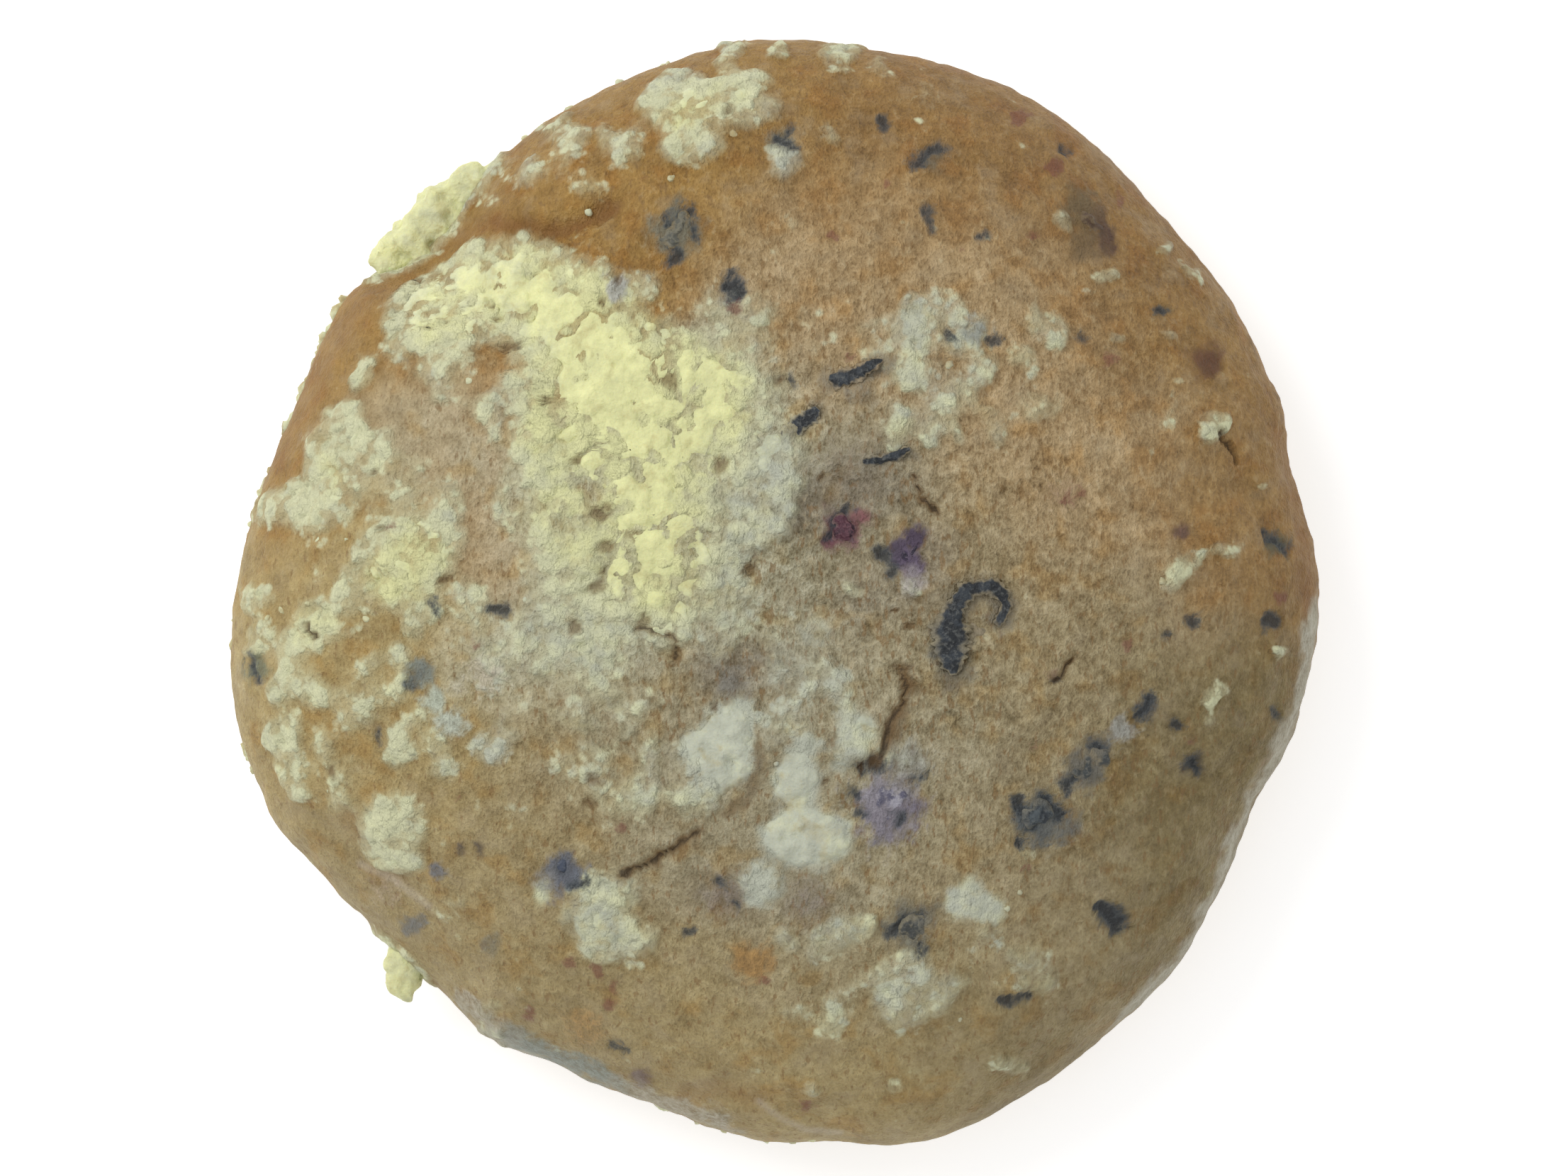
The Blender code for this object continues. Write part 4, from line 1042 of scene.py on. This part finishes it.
class Look:
    """A material, with short ways to add nodes to it. Colours are given in sRGB, 0-255."""

    def __init__(self, name, roughness, specular):
        self.material = bpy.data.materials.new(name)
        self.material.use_nodes = True
        self.tree = self.material.node_tree
        self.shader = self.tree.nodes["Principled BSDF"].inputs
        self.shader["Roughness"].default_value = roughness
        self.shader["Specular IOR Level"].default_value = specular

    def feed(self, socket, value):
        """Links another node's output to a socket, or sets its constant."""
        if isinstance(value, bpy.types.NodeSocket):
            self.tree.links.new(value, socket)
        else:
            socket.default_value = (*linear(value), 1) if socket.type == "RGBA" else value

    def node(self, kind, inputs, **settings):
        """Adds a node, with values or links for its inputs."""
        made = self.tree.nodes.new(kind)
        for key, value in settings.items():
            setattr(made, key, value)
        for socket, value in inputs.items():
            self.feed(made.inputs[socket], value)
        return made

    def maths(self, operation, a, b):
        return self.node("ShaderNodeMath", {0: a, 1: b}, operation=operation).outputs[0]

    def vector(self, operation, a, b):
        return self.node("ShaderNodeVectorMath", {0: a, 1: b}, operation=operation).outputs[0]

    def scaled(self, colour, value):
        return self.node("ShaderNodeVectorMath", {0: colour, "Scale": value}, operation="SCALE").outputs[0]

    def painted(self, name, output="Fac"):
        """A value, or with Color a colour, that is stored on the vertices."""
        return self.node("ShaderNodeAttribute", {}, attribute_name=name).outputs[output]

    @cached_property
    def place(self):
        """The object's own coordinates in millimetres."""
        return self.vector("MULTIPLY", self.node("ShaderNodeTexCoord", {}).outputs["Object"], (1 / MM,) * 3)

    @cached_property
    def swirl(self):
        """The place moved about by noise, for uneven outlines."""
        inputs = {"Vector": self.place, "Scale": 1 / SWIRL_SIZE, "Detail": 1.5}
        moved = self.node("ShaderNodeTexNoise", inputs).outputs["Color"]
        return self.vector("ADD", self.place, self.vector("MULTIPLY", moved, (SWIRL_REACH,) * 3))

    def grain(self, size, detail=3, stretch=None):
        """Noise from 0 to 1 with features of about a size in millimetres, longer the less the stretch is."""
        place = self.vector("MULTIPLY", self.place, stretch) if stretch else self.place
        inputs = {"Vector": place, "Scale": 1 / size, "Detail": detail, "Roughness": 0.55}
        return self.node("ShaderNodeTexNoise", inputs).outputs["Fac"]

    def kernels(self, size):
        """Rounded kernels: 1 on top of one, 0 in the creases between them."""
        cells = self.node("ShaderNodeTexVoronoi", {"Vector": self.swirl, "Scale": 1 / size})
        return self.ramp(cells.outputs["Distance"], 0.75, 0.1)

    def weighted(self, start, *terms):
        """start plus each value less a half, times its weight."""
        total = start
        for value, weight in terms:
            part = self.maths("MULTIPLY", self.maths("SUBTRACT", value, 0.5), weight)
            total = self.maths("ADD", total, part)
        return total

    def ramp(self, value, low, high, to_low=0, to_high=1):
        """Maps low..high to to_low..to_high with a smooth step."""
        inputs = {"Value": value, "From Min": low, "From Max": high, "To Min": to_low, "To Max": to_high}
        return self.node("ShaderNodeMapRange", inputs, interpolation_type="SMOOTHSTEP").outputs[0]

    def blend(self, share, a, b, kind="MIX"):
        """Mixes two colours."""
        inputs = {MIX_SHARE: share, MIX_FROM: a, MIX_TO: b}
        return self.node("ShaderNodeMix", inputs, data_type="RGBA", blend_type=kind).outputs[MIXED]

    def browned(self, colour, tone):
        """A colour darkened or lightened by tone, browner where it is dark and paler where it is light."""
        red, blue = self.maths("POWER", tone, 0.88), self.maths("POWER", tone, 1.25)
        curve = self.node("ShaderNodeCombineXYZ", {0: red, 1: tone, 2: blue}).outputs[0]
        return self.vector("MULTIPLY", colour, curve)

    def finish(self, colour, distance, strength, *heights):
        """Sets the colour and the bumps, as weighted heights in millimetres, and returns the material."""
        inputs = {"Height": self.weighted(0, *heights), "Distance": distance * MM, "Strength": strength}
        self.feed(self.shader["Normal"], self.node("ShaderNodeBump", inputs).outputs[0])
        self.feed(self.shader["Base Color"], colour)
        return self.material


def bareness(look):
    """How bare of smooth pale lump a place is, with an uneven soft edge."""
    return look.ramp(look.weighted(look.painted("bare"), (look.grain(1), 0.5)), 0.3, 0.95)


def crumb_colour(look, kernel):
    """The colour of crumble: ash white to cream to butter yellow, mottled, with painted shade in its creases.
    """
    broad, medium, fine = (look.grain(size) for size in (2.6, 1, 0.35))
    warmth = look.weighted(look.painted("yellow"), (broad, 0.7), (medium, 0.35))
    pale = look.blend(look.ramp(warmth, 0, 0.45), ASH, CREAM)
    warm = look.blend(look.ramp(warmth, 0.45, 0.95), pale, BUTTER)
    toned = look.scaled(warm, look.weighted(1.02, (broad, 0.3), (medium, 0.3), (fine, 0.2), (kernel, 0.05)))
    # Painted shade in the creases between kernels.
    crease = look.ramp(look.weighted(kernel, (medium, -0.9)), 0.14, -0.25, 0, 0.45)
    return look.blend(crease, toned, CRUMB_CREASE_SHADE)


def baked_crust(look, tone, small, pores):
    """Plain crust: its tint, mottled warm and grey, with painted highlights on grains, painted shade in long
    pores and painted shade along folds.
    """
    hue = look.grain(3.2, 2)
    base = look.browned(look.painted("tint", "Color"), tone)
    warm = look.blend(look.ramp(hue, 0.5, 0.3), base, WARM_FILTER, "MULTIPLY")
    cool = look.blend(look.ramp(hue, 0.52, 0.72, 0, 0.22), warm, GREY_CRUST)
    # Painted highlights on grains where the crust is open.
    glow = look.maths("MULTIPLY", look.ramp(small, 0.52, 0.74, 0, 0.4), pores)
    light = look.blend(glow, cool, GRAIN_HIGHLIGHT)
    # Painted shade in long pores.
    hollow = look.weighted(look.grain(0.5, 2, stretch=(1, 0.42, 0.7)), (pores, 0.06), (hue, -0.1))
    pored = look.blend(look.ramp(hollow, 0.57, 0.7, 0, 0.6), light, PORE_SHADE)
    # Painted shade along folds.
    return look.blend(look.maths("MULTIPLY", look.painted("fold"), 0.75), pored, FOLD_SHADE)


def berry_marks_and_light(look, under, fine, small):
    """Berry stains with painted sheen and painted shadow, scraps of skin and red specks over the crust's
    colour.
    """
    stained = look.weighted(look.painted("stained"), (small, 0.7), (fine, 0.4))
    stain = look.scaled(look.painted("stain", "Color"), look.weighted(1, (small, 1.2), (fine, 0.6)))
    juice_and_painted_light = look.blend(look.ramp(stained, 0.05, 0.9, 0, 0.92), under, stain)
    scraps = look.weighted(look.painted("scrap"), (small, 0.8), (fine, 0.7))
    skin = look.blend(look.ramp(scraps, 0, 0.5), NAVY, INK)
    inked = look.blend(look.ramp(scraps, -0.4, 0.3, 0, 0.88), juice_and_painted_light, skin)
    reds = look.weighted(look.painted("red"), (small, 1), (fine, 0.8))
    return look.blend(look.ramp(reds, -0.2, 0.35, 0, 0.65), inked, RED_SPECK)


def crumbs_over(look, crust, crumbly, kernel, seed, small, fine):
    """Crumbs over the crust's colour: a thin veil, lumps, and smooth pale lumps."""
    veil = look.ramp(look.weighted(crumbly, (small, 0.5)), 0.14, 0.84, 0, 0.55)
    lumpy = look.weighted(crumbly, (kernel, 0.44), (seed, 0.34), (small, 0.34), (fine, 0.2))
    lumps = look.ramp(lumpy, 0.22, 0.78, 0, 0.95)
    milky = look.maths("SUBTRACT", 1, bareness(look))
    pale = look.maths("MAXIMUM", look.maths("MAXIMUM", veil, lumps), milky)
    return look.blend(pale, crust, crumb_colour(look, kernel))


def crust_material():
    look = Look("crust", 0.58, 0.35)
    fine, small = (look.grain(size, stretch=(1, 0.7, 0.9)) for size in (0.22, 0.6))
    medium, broad = look.grain(2.2), look.grain(4.5)
    kernel, seed = look.kernels(2.4), look.kernels(1)
    pores, crumbly, depth = (look.painted(name) for name in ("pores", "crumbly", "split"))
    coarse = look.maths("MULTIPLY", look.maths("ADD", 0.75, look.maths("MULTIPLY", pores, 1.1)), 0.75)
    crumb = look.maths("MULTIPLY", pores, 0.3)
    # Random tone, with painted shade in the creases between crumb kernels where the crust is open.
    mottling_and_shade = ((broad, 0.55), (medium, 0.7), (small, coarse), (fine, coarse), (seed, crumb), (kernel, crumb))
    tone = look.weighted(1.07, *mottling_and_shade)
    crust = baked_crust(look, tone, small, pores)
    sided = look.blend(look.painted("side"), crust, look.browned(linear(SIDE), tone))
    speckled = crumbs_over(look, sided, crumbly, kernel, seed, small, fine)
    marked = berry_marks_and_light(look, speckled, fine, small)
    # Splits and holes: brown crust, darkened with painted shade where they are deepest.
    hollow = look.blend(look.ramp(depth, 0.65, 1), HOLLOW, HOLLOW_SHADE)
    split = look.blend(look.maths("MULTIPLY", depth, 0.9), marked, hollow)
    shiny = look.blend(look.maths("MULTIPLY", look.painted("glint"), 0.35), split, SHINE)
    raised = look.maths("MULTIPLY", look.weighted(kernel, (seed, 0.7)), look.ramp(crumbly, 0.25, 0.7))
    return look.finish(shiny, 0.45, 0.9, (medium, 0.4), (small, 0.9), (fine, 0.9), (raised, 0.8))


def crumble_material():
    look = Look("crumble", 0.85, 0.2)
    look.shader["Subsurface Weight"].default_value = 0.15
    look.shader["Subsurface Radius"].default_value = (1, 0.75, 0.45)
    look.shader["Subsurface Scale"].default_value = 1.2 * MM
    fine, kernel, seed = look.grain(0.28), look.kernels(2.4), look.kernels(0.9)
    crumbs = crumb_colour(look, kernel)
    thin = look.ramp(look.weighted(look.painted("thin"), (seed, -0.4)), 0.5, 1.2, 0, 0.6)
    ground = look.scaled(look.painted("ground", "Color"), look.weighted(1, (fine, 0.7), (seed, 0.1)))
    colour = look.blend(look.maths("MAXIMUM", thin, bareness(look)), crumbs, ground)
    return look.finish(colour, 0.24, 0.8, (kernel, 0.3), (seed, 0.4), (fine, 0.7))


def berry_material(name, dark, light, dusty):
    """Baked berry: dark skin, lighter flesh where it burst, a dusty grain, and edges like the crust."""
    look = Look(name, 0.5, 0.4)
    broad, fine = look.grain(1.3), look.grain(0.35)
    base = look.blend(look.ramp(broad, 0.42, 0.58), dark, light)
    grained = look.blend(look.ramp(fine, 0.48, 0.7, 0, 0.7), base, dusty)
    thin = look.ramp(look.weighted(look.painted("thin"), (look.grain(0.7), 0.9)), 0.45, 1.15)
    ground = look.scaled(look.painted("ground", "Color"), look.weighted(1, (broad, 0.5), (fine, 0.4)))
    return look.finish(look.blend(thin, grained, ground), 0.4, 0.9, (broad, 1), (fine, 0.8))


# ---------------------------------------------------------------- light, floor and camera
FRAME_WIDTH = 147.2
CAMERA_CENTRE = (0.77, 0.40)
LENS, SENSOR = 250, 36
FLOOR_SIZE, FLOOR_COLOUR, FLOOR_GLOW = 6, 0.85, 0.46
SKY_STRENGTH = 0.71
KEY_PLACE, KEY_TARGET = Vector((-0.42, 0.34, 0.55)), Vector((0, 0, 0.01))
KEY_SIZE, KEY_POWER = 0.5, 2.5


def set_stage():
    """A plain pale floor, soft light from above and from the upper left."""
    bpy.ops.mesh.primitive_plane_add(size=FLOOR_SIZE)
    floor = bpy.context.object
    floor.name = "floor"
    look = Look("floor", 0.9, 0)
    look.shader["Base Color"].default_value = (FLOOR_COLOUR,) * 3 + (1,)
    look.shader["Emission Color"].default_value = (1, 1, 1, 1)
    look.shader["Emission Strength"].default_value = FLOOR_GLOW
    floor.data.materials.append(look.material)
    world = bpy.data.worlds.new("soft")
    world.use_nodes = True
    sky = world.node_tree.nodes["Background"].inputs
    sky["Color"].default_value = (1, 1, 1, 1)
    sky["Strength"].default_value = SKY_STRENGTH
    bpy.context.scene.world = world
    lamp = bpy.data.lights.new("key", "AREA")
    lamp.shape = "DISK"
    lamp.size = KEY_SIZE
    lamp.energy = KEY_POWER
    key = new_object("key", lamp)
    key.location = KEY_PLACE
    key.rotation_euler = (KEY_TARGET - KEY_PLACE).to_track_quat("-Z", "Y").to_euler()


def set_camera():
    """A camera straight above the cake."""
    camera = bpy.data.cameras.new("camera")
    camera.lens = LENS
    camera.sensor_width = SENSOR
    camera.clip_end = 10
    eye = new_object("camera", camera)
    eye.location = Vector((*CAMERA_CENTRE, RIM_HEIGHT + FRAME_WIDTH * LENS / SENSOR)) * MM
    bpy.context.scene.camera = eye
    bpy.context.scene.view_settings.view_transform = "Standard"


def dress(piece, look, slot, *nodes):
    """Gives a piece its material and ties it to the frame."""
    piece.data.materials.clear()
    piece.data.materials.append(look)
    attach(piece, "root")
    if nodes:
        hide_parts(*nodes)


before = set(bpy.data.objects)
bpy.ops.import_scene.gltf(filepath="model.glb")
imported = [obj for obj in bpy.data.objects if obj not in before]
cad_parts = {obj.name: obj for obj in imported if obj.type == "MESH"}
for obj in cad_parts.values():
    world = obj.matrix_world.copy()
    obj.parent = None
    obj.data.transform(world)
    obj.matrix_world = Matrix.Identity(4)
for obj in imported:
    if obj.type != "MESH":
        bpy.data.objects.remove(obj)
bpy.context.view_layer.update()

crumble_look = crumble_material()
crumbles = []
for number, crumble_node in enumerate(CRUMBLES):
    crumbles.append(make_crumble(crumble_node, number))
    slot = "pale_crumble" if crumble_node.startswith(PALE_CRUMBLES) else "butter_crumble"
    dress(crumbles[-1], crumble_look, slot, crumble_node)
dress(make_crust(crumbles), crust_material(), "crust", "cake")
dress(make_loose_crumbs(), crumble_look, "butter_crumble")
for berry_node, shades in BERRY_LOOKS.items():
    slot = "berry_flesh" if berry_node in BURST_BERRIES else "berry_skin"
    dress(make_berry(berry_node), berry_material(berry_node, *shades), slot, berry_node)
skin_look = berry_material("skin", *SKIN)
for strip_name, strip_places in STRIPS.items():
    dress(make_strip(strip_name, strip_places), skin_look, "berry_skin")

set_stage()
set_camera()
